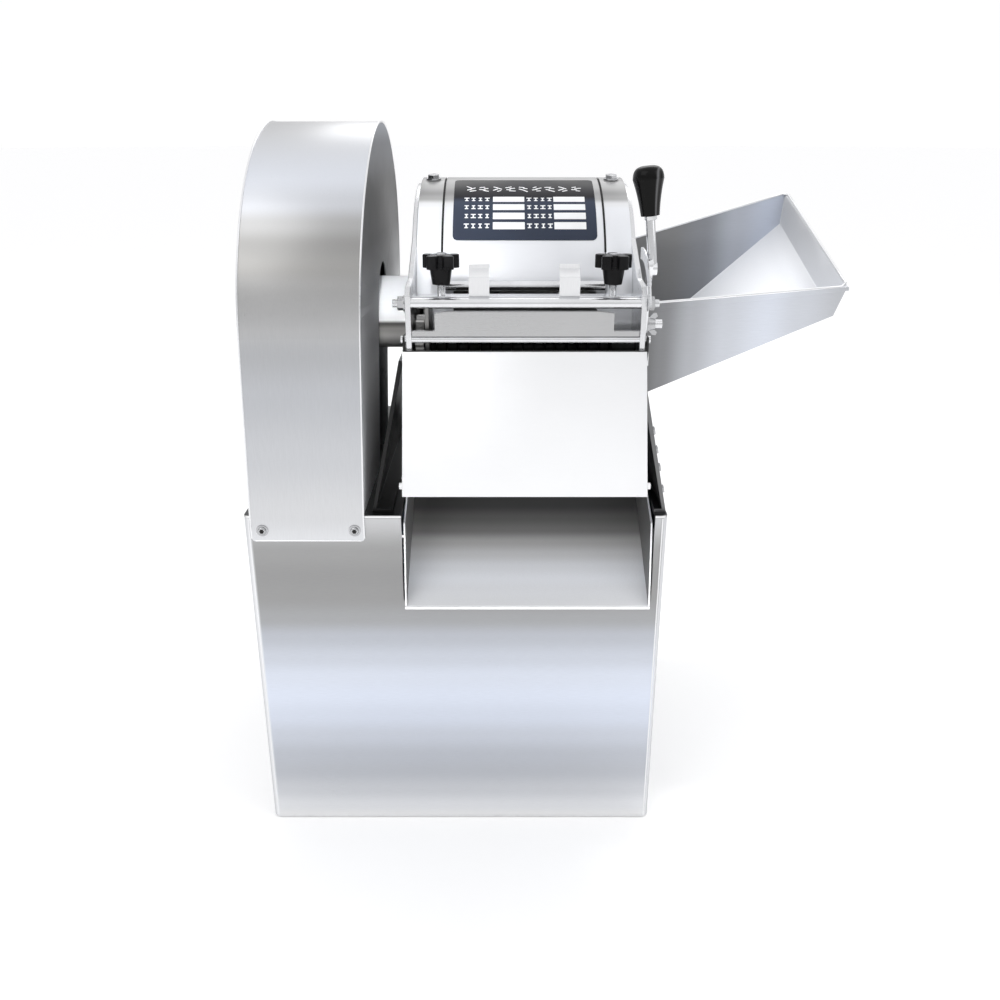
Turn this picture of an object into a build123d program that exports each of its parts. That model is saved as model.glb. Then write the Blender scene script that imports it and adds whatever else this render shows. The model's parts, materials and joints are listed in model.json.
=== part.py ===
from build123d import *
import os
from math import atan2, cos, degrees, hypot, radians, sin, sqrt, tan

os.makedirs("parts", exist_ok=True)

# ---------------------------------------------------------------- driving dimensions (mm)
# X runs across the machine, Y runs to its back, Z is up. The floor is Z = 0.
cabinet_x = -107.5                  # middle of the cabinet
front_y = -202.25                   # front face of the cabinet
cabinet_width = 500
cabinet_depth = 470
deck_z = 437                        # top of the cabinet
sheet = 2
deck_sheet = 3
foot_height = 5
shell_bottom = 1.5                  # the sheet hangs down over the feet
cabinet_left = cabinet_x - cabinet_width / 2
cabinet_right = cabinet_x + cabinet_width / 2
back_y = front_y + cabinet_depth

# main shaft, drum and end plates
axis_y = front_y + 220
axis_z = 636
plate_thickness = 6
drum_left = cabinet_x - 43          # inner face of the left end plate
drum_right = cabinet_x + 203        # inner face of the right end plate
casing_outer = 163
casing_inner = 158
band_outer = 167
gate_left = cabinet_x - 13
gate_right = cabinet_x + 172
tube_radius = 46
inlet_radius = 80

# the knife frame in front of the drum
cheek_front = front_y - 17
tie_y = front_y - 11
upper_tie_z = 687
lower_tie_z = 648
lower_tie_radius = 4
bar_z = 691

# gears: module, teeth and shaft places
module = 4
main_teeth = 52
idler_teeth = 18
disc_teeth = 16
cross_teeth = 16
gear_width = 9
gear_x = drum_left + 3
disc_y = front_y + 26
disc_z = 632
cross_y = front_y + 10

# discharge opening
notch_left = cabinet_x - 64
notch_right = cabinet_x + 235
lip_z = 326

# belt guard
guard_left = cabinet_x - 241
guard_right = cabinet_x - 108
guard_radius = 222
guard_centre_z = axis_z + 10        # middle of its arch
guard_lean = 2                      # degrees, towards the drum
guard_step = cabinet_x - 157        # the lower rear part is this much narrower
limb_back = front_y + 272

# drive
motor_y = front_y + 300
motor_z = 185
main_pulley_radius = 185
motor_pulley_radius = 36
pulley_left = cabinet_x - 222
pulley_width = 44
belt_depth = 8
belt_width = 10
shaft_radius = 20
running_gap = 0.05

LEFT, RIGHT = (-1, 0, 0), (1, 0, 0)
FORWARD, BACK = (0, -1, 0), (0, 1, 0)
UP, DOWN = (0, 0, 1), (0, 0, -1)
FROM_START = (Align.CENTER, Align.CENTER, Align.MIN)


# ---------------------------------------------------------------- shared features
def rod(x, y, z, facing, radius, length, mode=Mode.ADD):
    """A round bar that starts at the point and runs the given way."""
    with Locations(Plane(origin=(x, y, z), z_dir=facing).location):
        Cylinder(radius, length, align=FROM_START, mode=mode)


def tapered_rod(x, y, z, facing, start_radius, end_radius, length, mode=Mode.ADD):
    with Locations(Plane(origin=(x, y, z), z_dir=facing).location):
        Cone(start_radius, end_radius, length, align=FROM_START, mode=mode)


def ring(x, y, z, facing, outer, inner, length):
    with BuildSketch(Plane(origin=(x, y, z), z_dir=facing)) as outline:
        Circle(outer)
        Circle(inner, mode=Mode.SUBTRACT)
    extrude(outline.sketch, amount=length)


def slab(x_low, x_high, y_low, y_high, z_low, z_high, mode=Mode.ADD):
    with Locations(((x_low + x_high) / 2, (y_low + y_high) / 2, (z_low + z_high) / 2)):
        Box(x_high - x_low, y_high - y_low, z_high - z_low, mode=mode)


def hex_head(x, y, z, facing, across, height):
    with BuildSketch(Plane(origin=(x, y, z), z_dir=facing)) as outline:
        RegularPolygon(radius=across / 2, side_count=6, major_radius=False)
    extrude(outline.sketch, amount=height)


def side_profile(x, points, thickness, mode=Mode.ADD):
    """A plate seen from the side: points are (Y, Z), and it runs from x to +X."""
    with BuildSketch(Plane.YZ.offset(x)) as outline:
        with BuildLine():
            Polyline(*points, close=True)
        make_face()
    extrude(outline.sketch, amount=thickness, mode=mode)


def front_profile(y, points, depth, mode=Mode.ADD):
    """A plate seen from the front: points are (X, Z), and it runs from y to +Y."""
    with BuildSketch(Plane.XZ.offset(-y)) as outline:
        with BuildLine():
            Polyline(*points, close=True)
        make_face()
    extrude(outline.sketch, amount=-depth, mode=mode)


def curved_sheet(x_low, x_high, inner, outer, start, end, mode=Mode.ADD):
    """Part of a cylinder about the main shaft; 0 degrees is the back and 90 is the top."""
    steps = 6
    spread = [start + (end - start) * i / steps for i in range(steps + 1)]
    reach = outer * 1.5
    with BuildSketch(Plane.YZ.offset(x_low)) as outline:
        with Locations((axis_y, axis_z)):
            Circle(outer)
            Circle(inner, mode=Mode.SUBTRACT)
        with BuildLine():
            Polyline(
                (axis_y, axis_z),
                *[(axis_y + reach * cos(radians(a)), axis_z + reach * sin(radians(a))) for a in spread],
                close=True,
            )
        make_face(mode=Mode.INTERSECT)
    extrude(outline.sketch, amount=x_high - x_low, mode=mode)


def on_drum(radius, angle):
    """Y and Z of a point at that radius from the main shaft."""
    return axis_y + radius * cos(radians(angle)), axis_z + radius * sin(radians(angle))


def gear(x, y, z, teeth, phase, bore):
    """A spur gear about an axis along X; phase turns its first tooth, in degrees."""
    pitch_radius = module * teeth / 2
    tip = pitch_radius + module * 0.92
    root = pitch_radius - module * 1.2
    with BuildSketch(Plane.YZ.offset(x)) as outline:
        with Locations((y, z)):
            Circle(root)
            with PolarLocations(0, teeth, start_angle=phase):
                Polygon(
                    (root - 1, -module * 0.98),
                    (pitch_radius, -module * 0.72),
                    (tip, -module * 0.34),
                    (tip, module * 0.34),
                    (pitch_radius, module * 0.72),
                    (root - 1, module * 0.98),
                    align=None,
                )
            Circle(bore, mode=Mode.SUBTRACT)
    extrude(outline.sketch, amount=gear_width)


def finish(piece, name):
    piece.part.label = name
    export_step(piece.part, "parts/" + name + ".step")


# where the follower gears stand
disc_reach = hypot(axis_y - disc_y, axis_z - disc_z)
main_to_idler = module * (main_teeth + idler_teeth) / 2
idler_to_disc = module * (idler_teeth + disc_teeth) / 2
cross_z = disc_z - sqrt((module * (disc_teeth + cross_teeth) / 2) ** 2 - (disc_y - cross_y) ** 2)
along = (main_to_idler**2 - idler_to_disc**2 + disc_reach**2) / (2 * disc_reach)
aside = sqrt(main_to_idler**2 - along**2)
toward = ((disc_y - axis_y) / disc_reach, (disc_z - axis_z) / disc_reach)
idler_y = axis_y + along * toward[0] - aside * toward[1]
idler_z = axis_z + along * toward[1] + aside * toward[0]

# ================================================================ cabinet
with BuildPart() as cabinet_shell:
    corner = 8
    with BuildSketch(Plane.XY.offset(shell_bottom)):
        with Locations((cabinet_x, front_y + cabinet_depth / 2)):
            RectangleRounded(cabinet_width, cabinet_depth, corner)
            RectangleRounded(cabinet_width - 2 * sheet, cabinet_depth - 2 * sheet, corner - sheet,
                             mode=Mode.SUBTRACT)
    extrude(amount=deck_z - deck_sheet - shell_bottom)
    # discharge notch in the front, open back for the rear panel
    slab(notch_left, notch_right, front_y - 1, front_y + sheet + 1, lip_z, deck_z, Mode.SUBTRACT)
    slab(cabinet_left + 20, cabinet_right - 20, back_y - 10, back_y + 1, 30, 405, Mode.SUBTRACT)
finish(cabinet_shell, "cabinet_shell")

with BuildPart() as deck_plate:
    with BuildSketch(Plane.XY.offset(deck_z - deck_sheet)):
        with Locations((cabinet_x, front_y + cabinet_depth / 2)):
            RectangleRounded(cabinet_width, cabinet_depth, 8)
    extrude(amount=deck_sheet)
    slab(notch_left, notch_right, front_y - 1, front_y + 232, deck_z - 10, deck_z + 1, Mode.SUBTRACT)
    slab(cabinet_x - 228, cabinet_x - 166, front_y + 60, front_y + 425, deck_z - 10, deck_z + 1,
         Mode.SUBTRACT)
    fillet(deck_plate.faces().sort_by(Axis.Z)[-1].outer_wire().edges(), 1.2)
finish(deck_plate, "deck_plate")

with BuildPart() as rear_panel:
    panel_z = (18, 417)
    slab(cabinet_left + 10, cabinet_right - 10, back_y, back_y + 1.5, *panel_z)
    for row in range(7):
        for column in (-1, 1):
            louvre_x = cabinet_x + column * 110
            louvre_z = 70 + row * 22
            slab(louvre_x - 70, louvre_x + 70, back_y - 1, back_y + 2, louvre_z, louvre_z + 5, Mode.SUBTRACT)
            side_profile(louvre_x - 74, [(back_y + 1.5, louvre_z + 11), (back_y + 1.5, louvre_z + 5),
                                         (back_y + 7, louvre_z + 3), (back_y + 7, louvre_z + 4.5)], 148)
    rod(cabinet_x + 200, back_y - 1, 60, BACK, 8.1, 4, Mode.SUBTRACT)
    slab(cabinet_x - 195, cabinet_x - 155, back_y - 1, back_y + 2, 325, 395, Mode.SUBTRACT)
finish(rear_panel, "rear_panel")

with BuildPart() as base_frame:
    angle_leg, angle_wall = 16, 3
    frame_top = deck_z - deck_sheet
    for x_side in (-1, 1):
        for y_side in (-1, 1):
            corner_x = cabinet_x + x_side * (cabinet_width / 2 - 8)
            corner_y = front_y + cabinet_depth / 2 + y_side * (cabinet_depth / 2 - 8)
            x_in = sorted((corner_x, corner_x - x_side * angle_leg))
            y_in = sorted((corner_y, corner_y - y_side * angle_leg))
            x_wall = sorted((corner_x, corner_x - x_side * angle_wall))
            y_wall = sorted((corner_y, corner_y - y_side * angle_wall))
            slab(*x_in, *y_wall, foot_height + 3, frame_top)
            slab(*x_wall, *y_in, foot_height + 3, frame_top)
            slab(*x_in, *y_in, foot_height, foot_height + 3)
    for y_side in (-1, 1):
        rail_y = front_y + cabinet_depth / 2 + y_side * (cabinet_depth / 2 - 10)
        slab(cabinet_left + 20, cabinet_right - 20, rail_y - 2, rail_y + 2, foot_height + 3, foot_height + 33)
    for x in (cabinet_left + 10, cabinet_right - 10):
        slab(x - 2, x + 2, front_y + 20, back_y - 20, foot_height + 3, foot_height + 33)
        slab(x - 2, x + 2, front_y + 20, back_y - 20, frame_top - 25, frame_top)
    for y in (motor_y - 70, motor_y + 70):
        slab(cabinet_left + 12, cabinet_right - 12, y - 15, y + 15, foot_height + 3, foot_height + 28)
    # room for the discharge chute beside the front right post
    slab(notch_right - 30, notch_right + 0.5, front_y, front_y + 30, lip_z - 20, deck_z, Mode.SUBTRACT)
finish(base_frame, "base_frame")

with BuildPart() as rubber_feet:
    for x in (cabinet_left + 28, cabinet_right - 28):
        for y in (front_y + 28, back_y - 28):
            tapered_rod(x, y, 0, UP, 15, 18, foot_height)
finish(rubber_feet, "rubber_feet")

with BuildPart() as cable_gland:
    gland_x, gland_z = cabinet_x + 200, 60
    rod(gland_x, back_y - 6, gland_z, BACK, 8, 7.5)
    hex_head(gland_x, back_y + 1.5, gland_z, BACK, 22, 6)
    tapered_rod(gland_x, back_y + 7.5, gland_z, BACK, 9.5, 7, 7)
    rod(gland_x, back_y - 7, gland_z, BACK, 4.5, 30, Mode.SUBTRACT)
finish(cable_gland, "cable_gland")

button_x = cabinet_x - 175
button_places = {"start_button": 375, "stop_button": 345}
with BuildPart() as switch_plate:
    slab(button_x - 25, button_x + 25, back_y + 1.5, back_y + 3.5, 318, 402)
    fillet(switch_plate.edges().filter_by(Axis.Y), 5)
    slab(button_x - 18, button_x + 18, back_y - 30, back_y + 1.5, 327, 393)
    for z in button_places.values():
        rod(button_x, back_y - 12, z, BACK, 10.2, 20, Mode.SUBTRACT)
finish(switch_plate, "switch_plate")

for button_name, z in button_places.items():
    with BuildPart() as push_button:
        rod(button_x, back_y - 7, z, BACK, 10, 16)
        fillet(push_button.edges().group_by(Axis.Y)[-1], 1.5)
    finish(push_button, button_name)

# ================================================================ motor and belt drive
with BuildPart() as motor_bracket:
    bracket_top = motor_z - 78
    slab(cabinet_x - 150, cabinet_x + 110, motor_y - 85, motor_y + 85, bracket_top - 6, bracket_top)
    for y in (motor_y - 85, motor_y + 79):
        slab(cabinet_x - 150, cabinet_x + 110, y, y + 6, foot_height + 28, bracket_top - 6)
    for y in (motor_y - 55, motor_y + 55):
        for x in (cabinet_x - 90, cabinet_x + 30):
            slab(x - 4.5, x + 4.5, y - 14, y + 14, bracket_top - 10, bracket_top + 1, Mode.SUBTRACT)
finish(motor_bracket, "motor_bracket")

with BuildPart() as motor_housing:
    body_left, body_right, body_radius = cabinet_x - 130, cabinet_x + 60, 66
    rod(body_left, motor_y, motor_z, RIGHT, body_radius, body_right - body_left)
    rod(body_left, motor_y, motor_z, LEFT, 52, 12)
    with BuildSketch(Plane.YZ.offset(body_left + 25)) as fins:
        with Locations((motor_y, motor_z)):
            with PolarLocations(body_radius + 3, 36):
                Rectangle(10, 2.4)
    extrude(fins.sketch, amount=body_right - body_left - 50)
    for y in (motor_y - 55, motor_y + 55):
        slab(cabinet_x - 110, cabinet_x + 50, y - 20, y + 20, bracket_top, bracket_top + 10)
    slab(cabinet_x - 110, cabinet_x + 50, motor_y - 50, motor_y + 50, bracket_top + 5, motor_z - 40)
    rod(body_left - 13, motor_y, motor_z, RIGHT, 14 + running_gap, 150, Mode.SUBTRACT)
finish(motor_housing, "motor_housing")

with BuildPart() as fan_cover:
    rod(body_right, motor_y, motor_z, RIGHT, 70, 42)
    fillet(fan_cover.edges().group_by(Axis.X)[-1], 14)
    rod(body_right - 1, motor_y, motor_z, RIGHT, 67, 36, Mode.SUBTRACT)
    for row in range(-2, 3):
        slab(body_right + 30, body_right + 50, motor_y - 40, motor_y + 40, motor_z + row * 15 - 3,
             motor_z + row * 15 + 3, Mode.SUBTRACT)
finish(fan_cover, "fan_cover")

with BuildPart() as terminal_box:
    slab(cabinet_x - 90, cabinet_x - 10, motor_y - 45, motor_y + 35, motor_z + 60, motor_z + 105)
    fillet(terminal_box.edges().filter_by(Axis.Z), 6)
    rod(cabinet_x - 95, motor_y, motor_z, RIGHT, 75, 100, Mode.SUBTRACT)
finish(terminal_box, "terminal_box")

with BuildPart() as motor_shaft:
    rod(pulley_left - 2, motor_y, motor_z, RIGHT, 14, body_left + 120 - pulley_left)
finish(motor_shaft, "motor_shaft")


def grooved_rim(x, y, z, radius, bore):
    """Revolved pulley blank with two belt grooves, bored for its shaft."""
    floor = radius - belt_depth - 5
    with BuildSketch(Plane.XZ.offset(-y)) as section:
        with BuildLine():
            Polyline(
                (x, z + bore),
                (x, z + radius),
                *[
                    point
                    for groove in (12, 32)
                    for point in (
                        (x + groove - 7.5, z + radius),
                        (x + groove - 5.6, z + floor),
                        (x + groove + 5.6, z + floor),
                        (x + groove + 7.5, z + radius),
                    )
                ],
                (x + pulley_width, z + radius),
                (x + pulley_width, z + bore),
                close=True,
            )
        make_face()
    revolve(section.sketch, axis=Axis((x, y, z), RIGHT))


with BuildPart() as motor_pulley:
    grooved_rim(pulley_left, motor_y, motor_z, motor_pulley_radius, 14)
finish(motor_pulley, "motor_pulley")

with BuildPart() as main_pulley:
    grooved_rim(pulley_left, axis_y, axis_z, main_pulley_radius, shaft_radius)
    for face_x, way in ((pulley_left - 1, RIGHT), (pulley_left + pulley_width + 1, LEFT)):
        with BuildSketch(Plane(origin=(face_x, axis_y, axis_z), z_dir=way)) as recess:
            Circle(main_pulley_radius - 26)
            Circle(38, mode=Mode.SUBTRACT)
        extrude(recess.sketch, amount=16, mode=Mode.SUBTRACT)
    with Locations(Plane(origin=(pulley_left, axis_y, axis_z), z_dir=RIGHT).location):
        with PolarLocations(98, 6):
            Cylinder(32, pulley_width + 20, align=FROM_START, mode=Mode.SUBTRACT)
finish(main_pulley, "main_pulley")

with BuildPart() as drive_belts:
    outer_gap = 1.5
    for groove in (12, 32):
        for depth, way in ((outer_gap, Mode.ADD), (outer_gap + belt_depth, Mode.SUBTRACT)):
            with BuildSketch(Plane.YZ.offset(pulley_left + groove - belt_width / 2)) as loop:
                with Locations((axis_y, axis_z)):
                    Circle(main_pulley_radius - depth)
                with Locations((motor_y, motor_z)):
                    Circle(motor_pulley_radius - depth)
                make_hull()
            extrude(loop.sketch, amount=belt_width, mode=way)
finish(drive_belts, "drive_belts")

with BuildPart() as main_shaft:
    rod(pulley_left - 3, axis_y, axis_z, RIGHT, shaft_radius, cabinet_x + 59 - pulley_left)
    chamfer(main_shaft.edges().group_by(Axis.X)[-1], 2)
finish(main_shaft, "main_shaft")

with BuildPart() as shaft_housing:
    ring(cabinet_x - 140, axis_y, axis_z, RIGHT, tube_radius, 40, drum_left - plate_thickness - cabinet_x + 140)
finish(shaft_housing, "shaft_housing")

with BuildPart() as shaft_bearings:
    for x in (cabinet_x - 138, drum_left - plate_thickness - 20):
        ring(x, axis_y, axis_z, RIGHT, 40, shaft_radius + running_gap, 18)
finish(shaft_bearings, "shaft_bearings")

# ================================================================ belt guard
guard_bottom = 405
guard_back = axis_y + guard_radius

def leaning_block(x_low, x_high, inset, back, floor, mode, right_lean=guard_lean):
    """Arched block between two sides that lean; its lower rear corner is at back and floor."""
    radius = guard_radius - inset
    low = deck_z - 2 * inset
    top = guard_centre_z + radius + 1
    with BuildSketch(Plane.YZ.offset(x_low - 20)) as arch:
        with BuildLine():
            Polyline((axis_y - radius, guard_centre_z), (axis_y - radius, low), (back - inset, low),
                     (back - inset, floor + inset), (axis_y + radius, floor + inset),
                     (axis_y + radius, guard_centre_z))
            ThreePointArc((axis_y + radius, guard_centre_z), (axis_y, guard_centre_z + radius),
                          (axis_y - radius, guard_centre_z))
        make_face()
    with BuildSketch(Plane.XZ.offset(-(front_y - 20))) as sides:
        with BuildLine():
            Polyline(*[(x + (z - deck_z) * tan(radians(lean)), z)
                       for x, z, lean in ((x_low, low - 1, guard_lean), (x_low, top, guard_lean),
                                          (x_high, top, right_lean), (x_high, low - 1, right_lean))], close=True)
        make_face()
    with BuildPart(mode=Mode.PRIVATE) as block:
        extrude(arch.sketch, amount=x_high - x_low + 60)
        extrude(sides.sketch, amount=-600, mode=Mode.INTERSECT)
    add(block.part, mode=mode)


step_z = 598                 # underside of the guard's short rear limb
guard_screw_left, guard_screw_right = guard_left + 13, guard_right - 11
with BuildPart() as belt_guard:
    leaning_block(guard_left, guard_right, 0, limb_back, step_z, Mode.ADD)
    leaning_block(guard_left, guard_step, 0, guard_back - 0.01, deck_z + 1, Mode.ADD, 0)
    leaning_block(guard_left + sheet, guard_right - sheet, sheet, limb_back, step_z, Mode.SUBTRACT)
    leaning_block(guard_left + sheet, guard_step - sheet, sheet, guard_back - 0.01, deck_z - 60, Mode.SUBTRACT, 0)
    # the slot that lets the guard drop over the shaft housing
    slot_radius = tube_radius + 2.5
    slot_top = axis_z + 16
    slab(guard_right - 5, guard_right + 20, axis_y - slot_radius, axis_y + slot_radius, deck_z - 5,
         slot_top, Mode.SUBTRACT)
    rod(guard_right - 5, axis_y, slot_top, RIGHT, slot_radius, 25, Mode.SUBTRACT)
    # front skirt over the cabinet's front edge, rounded at its lower corners
    with BuildSketch(Plane.XZ.offset(-(front_y - sheet))) as skirt:
        with Locations(((guard_left + guard_right) / 2, (guard_bottom + deck_z) / 2)):
            Rectangle(guard_right - guard_left, deck_z - guard_bottom)
        fillet(skirt.vertices().group_by(Axis.Y)[0], 4)
    extrude(skirt.sketch, amount=-sheet)
    for x in (guard_screw_left, guard_screw_right):
        rod(x, front_y - 5, guard_bottom + 14, BACK, 3.2, 10, Mode.SUBTRACT)
finish(belt_guard, "belt_guard")

with BuildPart() as cover_screws:
    for x in (guard_screw_left, guard_screw_right):
        rod(x, front_y - sheet, guard_bottom + 14, FORWARD, 5, 3.5)
        rod(x, front_y - sheet, guard_bottom + 14, BACK, 3, sheet)
    fillet(cover_screws.edges().group_by(Axis.Y)[0], 2)
    for x in (cabinet_left + 15, cabinet_x, cabinet_right - 15):
        for z in (25, 411):
            rod(x, back_y + 1.5, z, BACK, 5, 2.5)
    chamfer(cover_screws.edges().filter_by(GeomType.CIRCLE).group_by(Axis.Y)[-1], 0.8)
finish(cover_screws, "cover_screws")

# ================================================================ drum
cheek_outline = [
    (cheek_front + 1, 638), (cheek_front, 655), (cheek_front, upper_tie_z + 9), (cheek_front + 10, upper_tie_z + 17),
    (front_y + 30, upper_tie_z + 20), on_drum(160, 138), (axis_y, axis_z), on_drum(160, 250),
    (front_y + 60, 512), (front_y - 10, 505), (front_y - 40, 518), (front_y - 40, 560),
    (front_y - 24, 605),
]


def end_plate_blank(x, thickness, radius):
    """Round end of the drum with the knife frame's cheek in front of it."""
    rod(x, axis_y, axis_z, RIGHT, radius, thickness)
    side_profile(x, cheek_outline, thickness)


cutter_shafts = ((disc_y, disc_z), (cross_y, cross_z))
cutter_shaft_radius = 11

left_face, right_face = drum_left - plate_thickness, drum_right + plate_thickness
with BuildPart() as left_end_plate:
    end_plate_blank(left_face, plate_thickness, 160)
    rod(left_face - 1, axis_y, axis_z, RIGHT, 40, 8, Mode.SUBTRACT)
    for y, z in cutter_shafts:
        rod(left_face - 1, y, z, RIGHT, cutter_shaft_radius + running_gap, 8, Mode.SUBTRACT)
    rod(left_face - 1, idler_y, idler_z, RIGHT, 8, 8, Mode.SUBTRACT)
    rod(left_face - 1, tie_y, upper_tie_z, RIGHT, 4, 8, Mode.SUBTRACT)
    rod(left_face - 1, tie_y, lower_tie_z, RIGHT, lower_tie_radius, 8, Mode.SUBTRACT)
finish(left_end_plate, "left_end_plate")

with BuildPart() as gear_plate:
    gear_plate_x = gear_x + gear_width + 2
    end_plate_blank(gear_plate_x, 4, 160)
    rod(gear_plate_x - 1, axis_y, axis_z, RIGHT, shaft_radius + 2, 8, Mode.SUBTRACT)
    for y, z in cutter_shafts:
        rod(gear_plate_x - 1, y, z, RIGHT, cutter_shaft_radius + running_gap, 8, Mode.SUBTRACT)
    # room for the tie bars, the clamp bar and the knife block in front
    slab(gear_plate_x - 1, gear_plate_x + 5, front_y - 60, front_y - 3, 600, 760, Mode.SUBTRACT)
    curved_sheet(gear_plate_x - 1, gear_plate_x + 5, casing_outer - 1, 240, 100, 167, Mode.SUBTRACT)
finish(gear_plate, "gear_plate")

with BuildPart() as right_end_plate:
    end_plate_blank(drum_right, plate_thickness, 160)
    rod(drum_right - 1, axis_y, axis_z, RIGHT, inlet_radius, 8, Mode.SUBTRACT)
    for y, z in cutter_shafts:
        rod(drum_right - 1, y, z, RIGHT, cutter_shaft_radius + running_gap, 8, Mode.SUBTRACT)
    rod(drum_right - 1, tie_y, upper_tie_z, RIGHT, 4, 8, Mode.SUBTRACT)
    rod(drum_right - 1, tie_y, lower_tie_z, RIGHT, lower_tie_radius, 8, Mode.SUBTRACT)
finish(right_end_plate, "right_end_plate")

with BuildPart() as drum_casing:
    casing_left = gear_plate_x + 4
    ring(casing_left, axis_y, axis_z, RIGHT, casing_outer, casing_inner, drum_right - casing_left)
    curved_sheet(gate_left + 12, gate_right - 10, casing_inner - 5, casing_outer + 5, 78, 205, Mode.SUBTRACT)
finish(drum_casing, "drum_casing")

band_bolt_angle = 98
for band_name, low, high in (("left_band", drum_left, gate_left - 1.5), ("right_band", gate_right + 1.5, drum_right)):
    with BuildPart() as band:
        curved_sheet(low, high, casing_outer, band_outer, 52, 166)
        with Locations(Plane(origin=((low + high) / 2, axis_y, axis_z), x_dir=RIGHT,
                             z_dir=(0, cos(radians(band_bolt_angle)), sin(radians(band_bolt_angle)))).location):
            Cylinder(4, 200, align=FROM_START, mode=Mode.SUBTRACT)
    finish(band, band_name)

gate_start, gate_end = 66, 158
hinge_y, hinge_z = on_drum(band_outer + 5, gate_start - 3)
with BuildPart() as slice_gate:
    curved_sheet(gate_left, gate_right, casing_outer + 0.4, band_outer, gate_start, gate_end)
    for x in (gate_left + 20, gate_right - 50):
        rod(x, hinge_y, hinge_z, RIGHT, 5, 30)
        with BuildSketch(Plane.YZ.offset(x)) as leaf:
            with BuildLine():
                Polyline((hinge_y + 2, hinge_z + 4.4), (hinge_y - 4, hinge_z + 3), on_drum(band_outer - 1, gate_start + 0.4),
                         on_drum(band_outer - 1, gate_start + 6), on_drum(band_outer + 2, gate_start + 6), close=True)
            make_face()
        extrude(leaf.sketch, amount=30)
    rod(gate_left - 1, hinge_y, hinge_z, RIGHT, 2.5 + running_gap, gate_right - gate_left + 2, Mode.SUBTRACT)
finish(slice_gate, "slice_gate")

with BuildPart() as gate_lip_rod:
    rod(gate_left, *on_drum(casing_outer + 6.7, gate_end + 2), RIGHT, 6.3, gate_right - gate_left)
    fillet(gate_lip_rod.edges().filter_by(GeomType.CIRCLE), 1)
    rod(gate_left - 1, axis_y, axis_z, RIGHT, casing_outer + 0.4, gate_right - gate_left + 2, Mode.SUBTRACT)
    curved_sheet(gate_left - 1, gate_right + 1, casing_outer, band_outer, gate_start, gate_end, Mode.SUBTRACT)
finish(gate_lip_rod, "gate_lip_rod")

with BuildPart() as gate_hinge:
    rod(gate_left + 2, hinge_y, hinge_z, RIGHT, 2.5, gate_right - gate_left - 4)
    for x in (gate_left + 4, gate_right - 18):
        rod(x, hinge_y, hinge_z, RIGHT, 5, 14)
        side_profile(x, [(hinge_y - 3, hinge_z + 4), (hinge_y + 5, hinge_z), on_drum(casing_outer, 52),
                         on_drum(casing_outer, 62)], 14)
    rod(gate_left, axis_y, axis_z, RIGHT, casing_outer, gate_right - gate_left, Mode.SUBTRACT)
finish(gate_hinge, "gate_hinge")

with BuildPart() as name_plate:
    curved_sheet(cabinet_x - 2, cabinet_x + 164, band_outer, band_outer + 0.8, 100, 141)
    fillet(name_plate.edges().filter_by(lambda edge: edge.length < 1), 6)
finish(name_plate, "name_plate")

with BuildPart() as impeller:
    wheel_x = casing_left + 2
    rod(wheel_x, axis_y, axis_z, RIGHT, 152, 4)
    tapered_rod(wheel_x, axis_y, axis_z, RIGHT, 42, 28, 74)
    blade_end = drum_right - 6 - wheel_x
    for turn in range(4):
        with BuildSketch(Plane.YZ.offset(wheel_x)) as blade:
            with Locations((axis_y, axis_z)):
                with Locations(Rotation(0, 0, 45 + turn * 90)):
                    with Locations((120, 0)):
                        Rectangle(68, 4)
        extrude(blade.sketch, amount=blade_end)
        with BuildSketch(Plane.YZ.offset(wheel_x)) as web:
            with Locations((axis_y, axis_z)):
                with Locations(Rotation(0, 0, 45 + turn * 90)):
                    with Locations((60, 0)):
                        Rectangle(60, 4)
        extrude(web.sketch, amount=40)
    rod(wheel_x - 1, axis_y, axis_z, RIGHT, shaft_radius, 90, Mode.SUBTRACT)
finish(impeller, "impeller")

# ================================================================ knife frame
with BuildPart() as tie_bars:
    rod(drum_left, tie_y, upper_tie_z, RIGHT, 5.5, drum_right - drum_left)
    rod(drum_left - 19, tie_y, upper_tie_z, RIGHT, 4, drum_right - drum_left + 38)
    rod(drum_left - 12, tie_y, lower_tie_z, RIGHT, lower_tie_radius, drum_right - drum_left + 24)
finish(tie_bars, "tie_bars")

with BuildPart() as clamp_bar:
    slab(drum_left, drum_right, front_y - 4, front_y + 14, bar_z - 2, bar_z + 2)
    for x in (cabinet_x - 11, cabinet_x + 174):
        rod(x, front_y + 5, bar_z - 5, UP, 4.05, 10, Mode.SUBTRACT)
finish(clamp_bar, "clamp_bar")

with BuildPart() as knife_block:
    front_profile(front_y - 15, [(drum_left, 652), (drum_right, 652), (drum_right, 658), (cabinet_x + 175, 658),
                                 (cabinet_x + 175, 677), (cabinet_x + 160, 679), (cabinet_x - 4, 679),
                                 (cabinet_x - 18, 677), (cabinet_x - 18, 658), (drum_left, 658)], 6)
finish(knife_block, "knife_block")

with BuildPart() as slicing_knife:
    side_profile(gate_left + 14, [(front_y - 9, 671.5), (front_y - 9, 675.5), (front_y + 44, 672.5),
                                  (front_y + 56, 669), (front_y + 44, 668.6)], gate_right - gate_left - 26)
finish(slicing_knife, "slicing_knife")

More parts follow.
